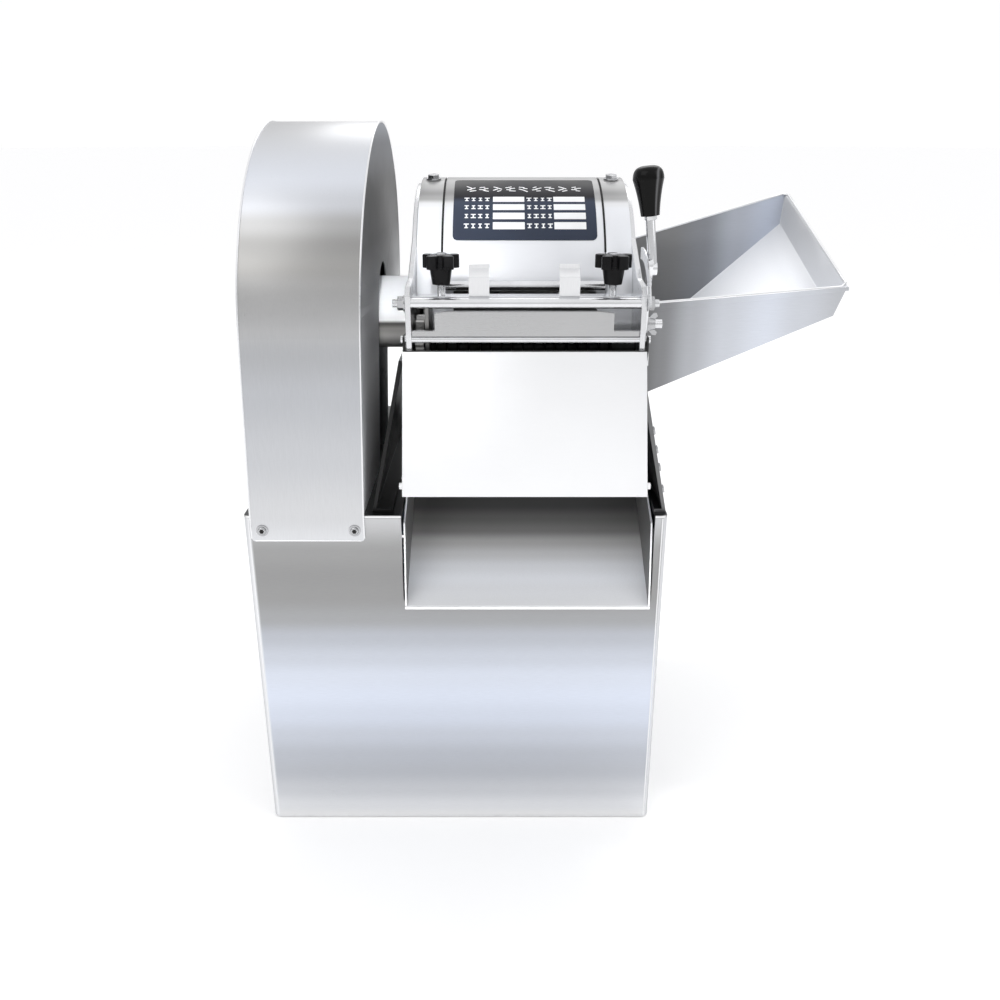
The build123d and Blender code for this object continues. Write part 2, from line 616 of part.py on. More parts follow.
disc_radius, disc_pitch = 30, 12
first_disc = gear_plate_x + 10
with BuildPart() as disc_cutter_shaft:
    rod(drum_left - 5, disc_y, disc_z, RIGHT, cutter_shaft_radius, drum_right - drum_left + 10)
    rod(gear_plate_x + 5, disc_y, disc_z, RIGHT, 15, drum_right - 1 - gear_plate_x - 5)
    for i in range(17):
        disc_x = first_disc + i * disc_pitch
        rod(disc_x, disc_y, disc_z, RIGHT, disc_radius - 2, 1.6)
        tapered_rod(disc_x, disc_y, disc_z, RIGHT, disc_radius, disc_radius - 2, 1.6)
finish(disc_cutter_shaft, "disc_cutter_shaft")

with BuildPart() as stripper_comb:
    slab(gear_plate_x + 4, drum_right, front_y + 54, front_y + 58, 594, 610)
    for i in range(16):
        finger_x = first_disc + i * disc_pitch + disc_pitch / 2 + 0.8
        slab(finger_x - 2.5, finger_x + 2.5, front_y + 31, front_y + 54, 606, 610)
finish(stripper_comb, "stripper_comb")

with BuildPart() as crosscut_roller:
    rod(drum_left - 5, cross_y, cross_z, RIGHT, cutter_shaft_radius, drum_right - drum_left + 10)
    rod(gear_plate_x + 6, cross_y, cross_z, RIGHT, 20, drum_right - 2 - gear_plate_x - 6)
    with BuildSketch(Plane.YZ.offset(gear_plate_x + 8)) as knives:
        with Locations((cross_y, cross_z)):
            with PolarLocations(0, 8):
                Polygon((15, -2.5), (25, -2.2), (31, 0.6), (31, 1.2), (25, 2.2), (15, 2.5), align=None)
    extrude(knives.sketch, amount=drum_right - 4 - gear_plate_x - 8)
finish(crosscut_roller, "crosscut_roller")


def facing_angle(y, z, other_y, other_z):
    return degrees(atan2(other_z - z, other_y - y))


def meshed_phase(angle, teeth, other_angle, other_phase, other_teeth):
    """First-tooth angle that puts a tooth gap where the other gear has a tooth."""
    other_step = 360 / other_teeth
    step = 360 / teeth
    lag = ((other_angle - other_phase) / other_step) % 1
    return angle + step * (lag + 0.5)


main_phase = 0
to_idler = facing_angle(axis_y, axis_z, idler_y, idler_z)
idler_phase = meshed_phase(to_idler + 180, idler_teeth, to_idler, main_phase, main_teeth)
idler_to = facing_angle(idler_y, idler_z, disc_y, disc_z)
disc_phase = meshed_phase(idler_to + 180, disc_teeth, idler_to, idler_phase, idler_teeth)
disc_to = facing_angle(disc_y, disc_z, cross_y, cross_z)
cross_phase = meshed_phase(disc_to + 180, cross_teeth, disc_to, disc_phase, disc_teeth)

for gear_name, y, z, teeth, phase, bore in (
    ("main_gear", axis_y, axis_z, main_teeth, main_phase, shaft_radius),
    ("idler_gear", idler_y, idler_z, idler_teeth, idler_phase, 8 + running_gap),
    ("disc_gear", disc_y, disc_z, disc_teeth, disc_phase, cutter_shaft_radius),
    ("crosscut_gear", cross_y, cross_z, cross_teeth, cross_phase, cutter_shaft_radius),
):
    with BuildPart() as spur:
        gear(gear_x, y, z, teeth, phase, bore)
    finish(spur, gear_name)

with BuildPart() as idler_pin:
    rod(drum_left - plate_thickness - 3, idler_y, idler_z, RIGHT, 8, plate_thickness + 3 + 3 + gear_width + 1)
    rod(drum_left - plate_thickness - 3, idler_y, idler_z, LEFT, 11, 3)
finish(idler_pin, "idler_pin")

# star knobs with their screws
for knob_name, knob_x in (("left_star_knob", cabinet_x - 11), ("right_star_knob", cabinet_x + 174)):
    with BuildPart() as star_knob:
        knob_y = front_y + 5
        rod(knob_x, knob_y, bar_z - 6, UP, 4, 32)
        tapered_rod(knob_x, knob_y, 705, UP, 9.5, 12.5, 19)
        with BuildSketch(Plane.XY.offset(722)) as lobes:
            with Locations((knob_x, knob_y)):
                Circle(12)
                with PolarLocations(14.5, 5, start_angle=90):
                    Circle(6)
        extrude(lobes.sketch, amount=14)
        fillet(star_knob.faces().sort_by(Axis.Z)[-1].outer_wire().edges(), 1.5)
    finish(star_knob, knob_name)

with BuildPart() as plate_clips:
    for x in (cabinet_x + 19, cabinet_x + 116):
        side_profile(x, [(front_y - 6, bar_z + 2), (front_y + 12, bar_z + 2), (front_y + 12, bar_z + 4),
                         (front_y - 4, bar_z + 4), (front_y - 4, 712.5), (front_y + 10, 719.5),
                         (front_y + 10, 725.5), (front_y + 8, 725.5), (front_y + 8, 721), (front_y - 6, 714)], 22)
finish(plate_clips, "plate_clips")

# ================================================================ lever on the right end plate
pivot_y, pivot_z = front_y + 40, 655
lever_x = drum_right + plate_thickness + 3
with BuildPart() as lever_quadrant:
    with BuildSketch(Plane.YZ.offset(drum_right + plate_thickness)) as arc_plate:
        with Locations((pivot_y, pivot_z)):
            Circle(84)
            Circle(71, mode=Mode.SUBTRACT)
        with BuildLine():
            Polyline((pivot_y, pivot_z), (pivot_y + 20, pivot_z + 120), (pivot_y - 60, pivot_z + 110),
                     (pivot_y - 95, pivot_z + 40), close=True)
        make_face(mode=Mode.INTERSECT)
    extrude(arc_plate.sketch, amount=1.5)
    # the stud that the lever turns on
    rod(drum_right + plate_thickness, pivot_y, pivot_z, RIGHT, 5, 26)
    rod(drum_right + plate_thickness, pivot_y, pivot_z, RIGHT, 9, 2.7)
finish(lever_quadrant, "lever_quadrant")

tip_y, tip_z = front_y + 18, 722
lever_rod_x = lever_x + 5.5
lever_lean = (-sin(radians(6)), 0, cos(radians(6)))        # the rod leans in over the drum
knob_low, knob_high = 53, 103                              # along the rod, from its foot
with BuildPart() as lever_arm:
    with BuildSketch(Plane.YZ.offset(lever_x)) as arm_outline:
        with Locations((pivot_y, pivot_z)):
            Circle(11)
        with Locations((tip_y, tip_z)):
            Circle(9)
        make_hull()
        with Locations((pivot_y, pivot_z)):
            Circle(5 + running_gap, mode=Mode.SUBTRACT)
    extrude(arm_outline.sketch, amount=5)
    rod(lever_x, tip_y, tip_z - 3, RIGHT, 7, 10)
    rod(lever_rod_x, tip_y, tip_z, lever_lean, 5, knob_low + 2.5)
finish(lever_arm, "lever_arm")

with BuildPart() as lever_knob:
    rod_plane = Plane((lever_rod_x, tip_y, tip_z), x_dir=(lever_lean[2], 0, -lever_lean[0]), z_dir=FORWARD)
    with BuildSketch(rod_plane) as knob_section:
        with BuildLine():
            Polyline((0, knob_high), (0, knob_low), (10, knob_low))
            Spline((10, knob_low), (13, knob_low + 22), (16.5, knob_high - 13))
            Spline((16.5, knob_high - 13), (13.5, knob_high - 3), (0, knob_high))
        make_face()
    revolve(knob_section.sketch, axis=Axis((lever_rod_x, tip_y, tip_z), lever_lean))
    knob_foot = [low + knob_low * part for low, part in zip((lever_rod_x, tip_y, tip_z), lever_lean)]
    rod(*knob_foot, lever_lean, 5, 2.5, Mode.SUBTRACT)
finish(lever_knob, "lever_knob")

with BuildPart() as wing_nut:
    nut_x = lever_x + 5.4
    rod(nut_x, pivot_y, pivot_z, RIGHT, 10, 1.6)
    tapered_rod(nut_x + 1.6, pivot_y, pivot_z, RIGHT, 8, 6.5, 8)
    for side in (-1, 1):
        with BuildSketch(Plane(origin=(nut_x, pivot_y, pivot_z), x_dir=RIGHT, z_dir=FORWARD)) as wing:
            with BuildLine():
                Polyline((2.5, side * 3), (7, side * 4), (12.5, side * 9), (11, side * 12.5), (7, side * 12),
                         (2.5, side * 7), close=True)
            make_face()
        extrude(wing.sketch, amount=2, both=True)
    rod(nut_x - 1, pivot_y, pivot_z, RIGHT, 5 + running_gap, 30, Mode.SUBTRACT)
finish(wing_nut, "wing_nut")

# ================================================================ flap over the cutters
flap_low, flap_high = (front_y - 80, 492), (front_y - 19.5, 638)
flap_left, flap_right = cabinet_x - 53, cabinet_x + 211
with BuildPart() as cutter_flap:
    side_profile(flap_left, [flap_low, flap_high, (flap_high[0] + 2, flap_high[1] - 0.8),
                             (flap_low[0] + 2, flap_low[1] - 0.8)], flap_right - flap_left)
    for x in (drum_left - plate_thickness - 3.5, drum_right + plate_thickness + 1.5):
        with BuildSketch(Plane.YZ.offset(x)) as ear:
            with BuildLine():
                Polyline((tie_y - 8, lower_tie_z + 4), (tie_y + 8, lower_tie_z + 4), (tie_y + 8, lower_tie_z - 6),
                         (flap_high[0] - 4, 622), (flap_high[0] - 0.5, 637), close=True)
            make_face()
        extrude(ear.sketch, amount=2)
        rod(x - 1, tie_y, lower_tie_z, RIGHT, lower_tie_radius + running_gap, 4, Mode.SUBTRACT)
    for x, way in ((flap_left, LEFT), (flap_right, RIGHT)):
        rod(x, flap_low[0] + 5.5, flap_low[1] + 10.5, way, 3.6, 3)
    rod(drum_left - 20, tie_y, lower_tie_z, RIGHT, lower_tie_radius + running_gap, 400, Mode.SUBTRACT)
finish(cutter_flap, "cutter_flap")

# ================================================================ pedestal and chute
pedestal_front, pedestal_back_y = front_y + 12, front_y + 330
foot_left, foot_right = cabinet_x - 99, cabinet_x + 249
pedestal_top = 619
with BuildPart() as pedestal_left:
    front_profile(pedestal_front, [(foot_left, deck_z), (left_face - 12, pedestal_top), (left_face, pedestal_top),
                                   (left_face, pedestal_top - 5), (left_face - 8, pedestal_top - 5),
                                   (foot_left + 5, deck_z + 4), (foot_left + 24, deck_z + 4),
                                   (foot_left + 24, deck_z)], pedestal_back_y - pedestal_front)
    rod(foot_left - 5, axis_y, axis_z, RIGHT, tube_radius + 1, 80, Mode.SUBTRACT)
finish(pedestal_left, "pedestal_left")

with BuildPart() as pedestal_right:
    front_profile(pedestal_front, [(foot_right, deck_z), (right_face + 3, pedestal_top), (right_face, pedestal_top),
                                   (right_face, pedestal_top - 12), (foot_right - 5, deck_z + 4),
                                   (foot_right - 14, deck_z + 4), (foot_right - 14, deck_z)],
                  pedestal_back_y - pedestal_front)
    # the rear part stops below the inlet ring and the hopper
    slab(right_face - 5, foot_right, front_y + 100, pedestal_back_y + 1, 534, 640, Mode.SUBTRACT)
finish(pedestal_right, "pedestal_right")

with BuildPart() as pedestal_back:
    back_z = 470
    slope_left = (left_face - 8 - foot_left - 5) / (pedestal_top - 5 - deck_z - 4)
    slope_right = (foot_right - 5 - right_face) / (pedestal_top - 12 - deck_z - 4)
    plate_low = deck_z + 5
    front_profile(pedestal_back_y - 6, [
        (foot_left + 6 + slope_left * (plate_low - deck_z), plate_low),
        (foot_right - 6 - slope_right * (plate_low - deck_z), plate_low),
        (foot_right - 6 - slope_right * (back_z - deck_z), back_z),
        (foot_left + 6 + slope_left * (back_z - deck_z), back_z)], 4)
finish(pedestal_back, "pedestal_back")

with BuildPart() as discharge_chute:
    lip_y = front_y - 11
    floor_back = (front_y + 206, 452)
    floor_front = (lip_y, lip_z - 2)
    wall_left, wall_right = notch_left + 2, notch_right - 2
    side_profile(wall_left, [floor_front, floor_back, (floor_back[0], floor_back[1] - 2.4),
                             (floor_front[0], floor_front[1] - 2.4)], wall_right - wall_left)
    for x in (wall_left, wall_right - sheet):
        side_profile(x, [floor_front, (front_y - 6, lip_z + 34), (front_y + 6, deck_z - 12), (front_y + 40, deck_z + 2),
                         (front_y + 110, 476), (front_y + 206, 458), floor_back], sheet)
    slab(wall_left, wall_right, lip_y - 1.5, lip_y, lip_z - 6, lip_z - 2.5)
finish(discharge_chute, "discharge_chute")

# ================================================================ feed hopper
hopper_front, hopper_back = front_y + 110, front_y + 340
hopper_end = right_face + 14


def hopper_section(y, corners):
    """Section at that Y; corners are (X from the cabinet's middle, Z)."""
    with BuildSketch(Plane.XZ.offset(-y)) as section:
        with BuildLine():
            Polyline(*[(cabinet_x + x, z) for x, z in corners], close=True)
        make_face()
    return section.sketch


with BuildPart() as feed_hopper:
    loft([hopper_section(hopper_front, [(225, 553), (452, 651), (465, 686), (225, 665.5)]),
          hopper_section(hopper_back, [(225, 543), (443, 735), (447, 777), (225, 712)])], ruled=True)
    loft([hopper_section(hopper_front + sheet, [(200, 545), (451, 653.6), (478, 726), (200, 705)]),
          hopper_section(hopper_back - sheet, [(200, 523.5), (440.6, 736), (447, 817), (200, 752)])],
         ruled=True, mode=Mode.SUBTRACT)
    # folded rim along the front
    front_profile(hopper_front - 5, [(cabinet_x + 225, 656.5), (cabinet_x + 465, 681.5), (cabinet_x + 465, 686),
                                     (cabinet_x + 225, 665.5)], 5)
    # mouth plate against the inlet ring
    side_profile(cabinet_x + 223, [(hopper_front, 548), (hopper_back, 540), (hopper_back, 712),
                                   (hopper_front, 665.5)], sheet)
    rod(cabinet_x + 220, axis_y, axis_z - 20, RIGHT, 62, 20, Mode.SUBTRACT)
finish(feed_hopper, "feed_hopper")

with BuildPart() as inlet_ring:
    ring(right_face, axis_y, axis_z, RIGHT, inlet_radius + 14, inlet_radius, cabinet_x + 223 - right_face)
finish(inlet_ring, "inlet_ring")

# ================================================================ fasteners
outward = (0, cos(radians(band_bolt_angle)), sin(radians(band_bolt_angle)))
with BuildPart() as hex_fasteners:
    # one through each drum band
    for x in ((drum_left + gate_left - 1.5) / 2, (gate_right + 1.5 + drum_right) / 2):
        for radius, height, start in ((9, 1.8, band_outer + 0.4), (4, band_outer + 3 - casing_outer, casing_outer)):
            y, z = on_drum(start, band_bolt_angle)
            rod(x, y, z, outward, radius, height)
        y, z = on_drum(band_outer + 2.2, band_bolt_angle)
        hex_head(x, y, z, outward, 13, 4)
    # down both edges of the pedestal's slanted plates
    rise = pedestal_top - deck_z
    for x_low, x_high, side, y, heights in (
            (foot_left, left_face - 12, -1, pedestal_back_y - 14, (454, 485, 523)),
            (foot_right, right_face + 3, 1, pedestal_back_y - 14, (454, 485, 523)),
            (foot_right, right_face + 3, 1, pedestal_front + 14, (461, 488, 510, 533))):
        lean = x_high - x_low
        length = hypot(rise, lean)
        normal = (side * rise / length, 0, -side * lean / length)
        for z in heights:
            hex_head(x_low + lean * (z - deck_z) / rise, y, z, normal, 9, 3)
    # hopper to inlet ring
    for angle in (25, 165, 215, 325):
        hex_head(cabinet_x + 225, axis_y + 87 * cos(radians(angle)), axis_z + 87 * sin(radians(angle)), RIGHT, 10, 5)
    # a nut and washer on each end of the upper tie bar
    for x, way in ((left_face, LEFT), (right_face, RIGHT)):
        hex_head(x + way[0] * 1.5, tie_y, upper_tie_z, way, 13, 6.5)
        rod(x, tie_y, upper_tie_z, way, 8.5, 1.5)
    rod(drum_left - 30, tie_y, upper_tie_z, RIGHT, 4, drum_right - drum_left + 60, Mode.SUBTRACT)
finish(hex_fasteners, "hex_fasteners")
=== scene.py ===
"""Looks of a vegetable dicer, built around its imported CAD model.

Metres, +Z up, and the operator stands on the -Y side.
"""

import json
from math import cos, pi, radians, sin, tan

import bmesh
import bpy
from mathutils import Matrix, Vector


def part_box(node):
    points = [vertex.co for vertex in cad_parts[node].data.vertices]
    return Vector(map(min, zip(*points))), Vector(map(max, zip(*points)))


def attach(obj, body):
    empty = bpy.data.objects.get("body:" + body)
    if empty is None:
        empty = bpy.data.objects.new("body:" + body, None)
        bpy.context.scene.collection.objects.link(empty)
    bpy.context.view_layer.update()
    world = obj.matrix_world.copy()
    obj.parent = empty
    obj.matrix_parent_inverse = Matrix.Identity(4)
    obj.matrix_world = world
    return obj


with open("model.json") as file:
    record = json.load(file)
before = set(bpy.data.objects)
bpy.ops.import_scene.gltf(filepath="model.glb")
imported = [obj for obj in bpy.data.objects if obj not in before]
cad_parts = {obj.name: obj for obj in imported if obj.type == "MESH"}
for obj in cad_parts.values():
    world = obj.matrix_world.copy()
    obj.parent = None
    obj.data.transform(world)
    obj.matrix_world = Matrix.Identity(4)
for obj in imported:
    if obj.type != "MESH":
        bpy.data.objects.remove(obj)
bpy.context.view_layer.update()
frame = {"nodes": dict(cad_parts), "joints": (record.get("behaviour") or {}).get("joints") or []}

MM = 0.001
GUARD_LEAN = tan(radians(2))            # sideways per metre of height: the guard leans towards the drum
LEVER_LEAN = radians(6)                 # the lever leans towards the drum too
nodes = frame["nodes"]
joints = {joint["name"]: joint for joint in frame["joints"]}

# places that the looks are worked out from
shell_low, shell_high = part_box("cabinet_shell")
deck_low, deck_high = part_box("deck_plate")
guard_low, guard_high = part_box("belt_guard")
flap_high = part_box("cutter_flap")[1]
plate_low, plate_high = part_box("name_plate")
hopper_low, hopper_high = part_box("feed_hopper")
chute_low, chute_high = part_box("discharge_chute")
shaft = Vector(joints["main_shaft_spin"]["pos_m"])
cabinet_x = (shell_low.x + shell_high.x) / 2
drum_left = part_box("left_end_plate")[0].x
guard_radius = shaft.y - guard_low.y
band_radius = (plate_high - shaft).yz.length
guard_left = guard_low.x
guard_right = guard_high.x - (guard_high.z - deck_high.z) * GUARD_LEAN


# ---------------------------------------------------------------- camera, light and floor
def make_camera():
    """Stands in front of the machine, a little to the right, and looks down at it."""
    camera = bpy.data.cameras.new("camera")
    camera.lens = 34.5
    camera.sensor_width = 36
    camera.clip_start = 0.01
    holder = bpy.data.objects.new("camera", camera)
    right, away, height = 52.35 * MM, 1040.2 * MM, 0.8667
    look_down = radians(21.5)
    holder.location = (cabinet_x + right, shell_low.y - away, height)
    holder.rotation_euler = (pi / 2 - look_down, 0, 0)
    bpy.context.scene.collection.objects.link(holder)
    bpy.context.scene.camera = holder


def softbox(name, place, target, size, power, mirrored=True, spread=180):
    """Area light aimed at target, size and places in metres, power in watts and spread in degrees.

    One that is not mirrored lights the steel without showing in it.
    """
    lamp = bpy.data.lights.new(name, "AREA")
    lamp.shape = "RECTANGLE"
    lamp.size, lamp.size_y = size
    lamp.energy = power
    lamp.spread = radians(spread)
    holder = bpy.data.objects.new(name, lamp)
    holder.location = place
    holder.rotation_euler = (Vector(target) - Vector(place)).to_track_quat("-Z", "Y").to_euler()
    holder.visible_glossy = mirrored
    bpy.context.scene.collection.objects.link(holder)


def make_light():
    """A white tent: bright above, a little darker all round at the height of the machine.

    Three softboxes light the whole machine. Three small narrow lights, which the steel doesn't mirror,
    lift the hopper's floor, the chute's mouth and the gap between guard and drum.
    """
    scene = bpy.context.scene
    scene.view_settings.view_transform = "Standard"
    scene.view_settings.look = "None"
    world = bpy.data.worlds.new("studio")
    scene.world = world
    world.use_nodes = True
    tree = world.node_tree
    tree.nodes.clear()
    where = tree.nodes.new("ShaderNodeTexCoord")
    split = tree.nodes.new("ShaderNodeSeparateXYZ")
    tent = tree.nodes.new("ShaderNodeValToRGB")
    for i, (place, level) in enumerate(((0.0, 0.95), (0.08, 0.62), (0.35, 0.8), (0.7, 1.0), (1.0, 1.0))):
        stop = tent.color_ramp.elements[i] if i < 2 else tent.color_ramp.elements.new(place)
        stop.position = place
        stop.color = (level, level, level * 1.01, 1)
    seen = tree.nodes.new("ShaderNodeLightPath")
    pick = tree.nodes.new("ShaderNodeMix")
    pick.data_type = "RGBA"
    pick.inputs[7].default_value = (1.06, 1.06, 1.06, 1)
    lit = tree.nodes.new("ShaderNodeBackground")
    lit.inputs["Strength"].default_value = 0.95
    out = tree.nodes.new("ShaderNodeOutputWorld")
    tree.links.new(where.outputs["Generated"], split.inputs[0])
    tree.links.new(split.outputs["Z"], tent.inputs[0])
    tree.links.new(seen.outputs["Is Camera Ray"], pick.inputs[0])
    tree.links.new(tent.outputs[0], pick.inputs[6])
    tree.links.new(pick.outputs[2], lit.inputs["Color"])
    tree.links.new(lit.outputs[0], out.inputs["Surface"])
    softbox("key_light", (-2.2, -2.0, 3.2), (0, 0, 0.4), (2.6, 2.6), 26)
    softbox("fill_light", (2.6, -1.2, 2.4), (0, 0, 0.5), (2.0, 2.0), 10)
    softbox("rear_light", (0.4, 2.6, 2.8), (0, 0, 0.6), (2.4, 1.6), 14)
    softbox("hopper_light", (0.24, 0.0, 1.9), (0.27, 0.03, 0.72), (0.1, 0.1), 0.16, False, 30)
    softbox("low_light", (0.03, -1.3, 0.46), (0.0, 0.0, 0.42), (0.3, 0.1), 0.34, False, 40)
    gap_middle = (guard_right + drum_left) / 2
    softbox("gap_light", (gap_middle, -0.95, 1.15), (gap_middle, 0, shaft.z), (0.03, 0.3), 0.22, False, 24)


def make_floor():
    """A wide white floor that takes a soft shadow."""
    mesh = bpy.data.meshes.new("studio_floor")
    work = bmesh.new()
    bmesh.ops.create_circle(work, cap_ends=True, segments=96, radius=40)
    work.to_mesh(mesh)
    work.free()
    floor = bpy.data.objects.new("studio_floor", mesh)
    bpy.context.scene.collection.objects.link(floor)
    paint = Paint("studio_floor_paint", roughness=0.9, emission_color=(1, 1, 1, 1), emission_strength=0.16)
    paint.colour(paint.blend(paint.noise(6), (0.93, 0.93, 0.93), (0.95, 0.95, 0.95)))
    mesh.materials.append(paint.material)


# ---------------------------------------------------------------- materials
def grey(level, blue=0):
    """Linear colour of a grey whose screen level is 0 to 255, with more or less blue."""
    def linear(value):
        value = min(max(value / 255, 0), 1)
        return value / 12.92 if value <= 0.04045 else ((value + 0.055) / 1.055) ** 2.4
    return linear(level), linear(level + blue / 3), linear(level + blue)


class Paint:
    """One Principled material and the few node patterns that the machine's surfaces share."""

    def __init__(self, name, colour=(0.8, 0.8, 0.8), **sockets):
        self.material = bpy.data.materials.new(name)
        self.material.use_nodes = True
        self.tree = self.material.node_tree
        self.shader = self.tree.nodes["Principled BSDF"]
        self.shader.inputs["Base Color"].default_value = (*colour, 1)
        for socket, value in sockets.items():
            self.shader.inputs[socket.replace("_", " ").title().replace("Ior", "IOR")].default_value = value
        where = self.tree.nodes.new("ShaderNodeTexCoord")
        self.place = where.outputs["Object"]
        self.normal = where.outputs["Normal"]

    def plug(self, value, socket):
        if isinstance(value, bpy.types.NodeSocket):
            self.tree.links.new(value, socket)
        elif isinstance(value, tuple) and len(value) == 3 and socket.type == "RGBA":
            socket.default_value = (*value, 1)
        else:
            socket.default_value = value

    def noise(self, scale, detail=3.0, stretch=(1, 1, 1), roughness=0.55):
        spread = self.tree.nodes.new("ShaderNodeMapping")
        self.plug(self.place, spread.inputs["Vector"])
        self.plug(tuple(stretch), spread.inputs["Scale"])
        made = self.tree.nodes.new("ShaderNodeTexNoise")
        self.plug(spread.outputs[0], made.inputs["Vector"])
        self.plug(scale, made.inputs["Scale"])
        self.plug(detail, made.inputs["Detail"])
        self.plug(roughness, made.inputs["Roughness"])
        return made.outputs["Fac"]

    def cells(self, scale):
        made = self.tree.nodes.new("ShaderNodeTexVoronoi")
        self.plug(self.place, made.inputs["Vector"])
        self.plug(scale, made.inputs["Scale"])
        return made.outputs["Distance"]

    def maths(self, kind, first, second=0.0):
        made = self.tree.nodes.new("ShaderNodeMath")
        made.operation = kind
        self.plug(first, made.inputs[0])
        self.plug(second, made.inputs[1])
        return made.outputs[0]

    def scaled(self, value, low, high, to_low=0.0, to_high=1.0):
        made = self.tree.nodes.new("ShaderNodeMapRange")
        for socket, number in zip(made.inputs, (value, low, high, to_low, to_high)):
            self.plug(number, socket)
        return made.outputs[0]

    def axis(self, vector, letter):
        made = self.tree.nodes.new("ShaderNodeSeparateXYZ")
        self.plug(vector, made.inputs[0])
        return made.outputs[letter]

    def ramp(self, value, stops):
        """Colours in (place, colour) stops, place from 0 to 1 in rising order."""
        made = self.tree.nodes.new("ShaderNodeValToRGB")
        scale = made.color_ramp
        scale.interpolation = "EASE"
        for i, (place, colour) in enumerate(stops):
            stop = scale.elements[i] if i < 2 else scale.elements.new(min(place, 1))
            stop.position = place
            stop.color = (*colour, 1)
        self.plug(value, made.inputs[0])
        return made.outputs[0]

    def blend(self, share, first, second):
        """First colour where share is 0, second where it is 1."""
        made = self.tree.nodes.new("ShaderNodeMix")
        made.data_type = "RGBA"
        self.plug(share, made.inputs[0])
        self.plug(first, made.inputs[6])
        self.plug(second, made.inputs[7])
        return made.outputs[2]

    def colour(self, value):
        self.plug(value, self.shader.inputs["Base Color"])

    def rough(self, value):
        self.plug(value, self.shader.inputs["Roughness"])

    def bump(self, height, strength=0.1, distance=0.0002):
        made = self.tree.nodes.new("ShaderNodeBump")
        made.inputs["Strength"].default_value = strength
        made.inputs["Distance"].default_value = distance
        self.plug(height, made.inputs["Height"])
        self.plug(made.outputs[0], self.shader.inputs["Normal"])


# how much finer the grinding lines are along X, Y and Z: they run along the axis with the 3
GRAIN_ACROSS = (3, 60, 60)
GRAIN_UPRIGHT = (60, 60, 3)
GRAIN_BACK = (60, 3, 60)


def painted_band_tone(paint, letter, stops):
    """A painted tone that changes along one axis, for painted reflections and painted shade: stops are (place
    in metres, colour), in rising order.
    """
    low, high = stops[0][0], stops[-1][0]
    return paint.ramp(paint.scaled(paint.axis(paint.place, letter), low, high),
                      [((place - low) / (high - low), colour) for place, colour in stops])


def brushed(name, base, grain=GRAIN_UPRIGHT, roughness=0.33, strength=0.05, turned=(), beyond=(),
            metallic=1.0, streak=0.05):
    """Brushed sheet. A tone is one colour, or (axis letter, stops) for one that drifts over the sheet.

    base is the sheet's tone; one that drifts is painted reflection and painted shade. turned lists (axis
    letter, from, to, tone): what faces that way takes the other tone, as painted highlights and painted shade
    by facing, and beyond does the same by place, in metres. streak is how dark the lines are.
    """
    paint = Paint(name, metallic=metallic)

    def tone_of(form):
        if isinstance(form[0], str):
            return painted_band_tone(paint, *form)
        return form

    tone = tone_of(base)
    if isinstance(tone, tuple):
        tone = paint.blend(paint.noise(9, 2), tone, tuple(channel * 0.93 for channel in tone))
    for vector, changes in ((paint.place, beyond), (paint.normal, turned)):
        for letter, start, end, other in changes:
            tone = paint.blend(paint.scaled(paint.axis(vector, letter), start, end), tone, tone_of(other))
    lines = paint.noise(22, 5, grain, 0.7)
    cloud = paint.noise(5, 3)
    streaks = paint.scaled(lines, 0.3, 0.7, 1 - streak, 1 + streak / 2)
    made = paint.tree.nodes.new("ShaderNodeVectorMath")
    made.operation = "SCALE"
    paint.plug(tone, made.inputs[0])
    paint.plug(streaks, made.inputs["Scale"])
    paint.colour(made.outputs[0])
    wander = paint.maths("ADD", paint.scaled(lines, 0.3, 0.7, -streak, streak),
                         paint.scaled(cloud, 0.3, 0.7, -0.04, 0.05))
    paint.rough(paint.maths("ADD", wander, roughness))
    paint.bump(lines, strength, 0.0001)
    return paint.material


def polished(name, level, roughness, grain=GRAIN_ACROSS):
    """Bright steel with faint polishing lines and smears."""
    paint = Paint(name, metallic=1.0)
    lines = paint.noise(30, 4, grain, 0.7)
    smears = paint.noise(14, 4)
    paint.colour(paint.blend(paint.scaled(smears, 0.35, 0.7), grey(level, 3), grey(level - 16, 2)))
    paint.rough(paint.maths("ADD", paint.scaled(smears, 0.3, 0.75, roughness - 0.05, roughness + 0.08),
                            paint.scaled(lines, 0.3, 0.7, -0.03, 0.05)))
    paint.bump(lines, 0.04, 0.0001)
    return paint.material


def machined(name, level=150, roughness=0.34):
    """Turned or milled steel with an oily film in its hollows."""
    paint = Paint(name, metallic=1.0)
    rings = paint.noise(40, 3, (40, 4, 4), 0.6)
    film = paint.noise(25, 5)
    paint.colour(paint.blend(paint.scaled(film, 0.4, 0.7), grey(level), grey(level - 30, -6)))
    paint.rough(paint.scaled(rings, 0.3, 0.7, roughness - 0.06, roughness + 0.1))
    paint.bump(rings, 0.12, 0.0002)
    return paint.material


def moulded(name, colour, roughness=0.42, grain=900, worn=None, coat=0.0, gloss=0.3):
    """Moulded plastic or rubber: a fine spark-eroded grain, and paler where hands rub it."""
    paint = Paint(name, coat_weight=coat, specular_ior_level=gloss)
    patches = paint.noise(35, 4)
    fine = paint.noise(grain, 2)
    paint.colour(paint.blend(paint.scaled(patches, 0.45, 0.75), colour,
                             worn or tuple(min(channel * 1.5 + 0.004, 1) for channel in colour)))
    paint.rough(paint.scaled(patches, 0.3, 0.7, roughness - 0.06, roughness + 0.07))
    paint.bump(fine, 0.12, 0.0001)
    return paint.material


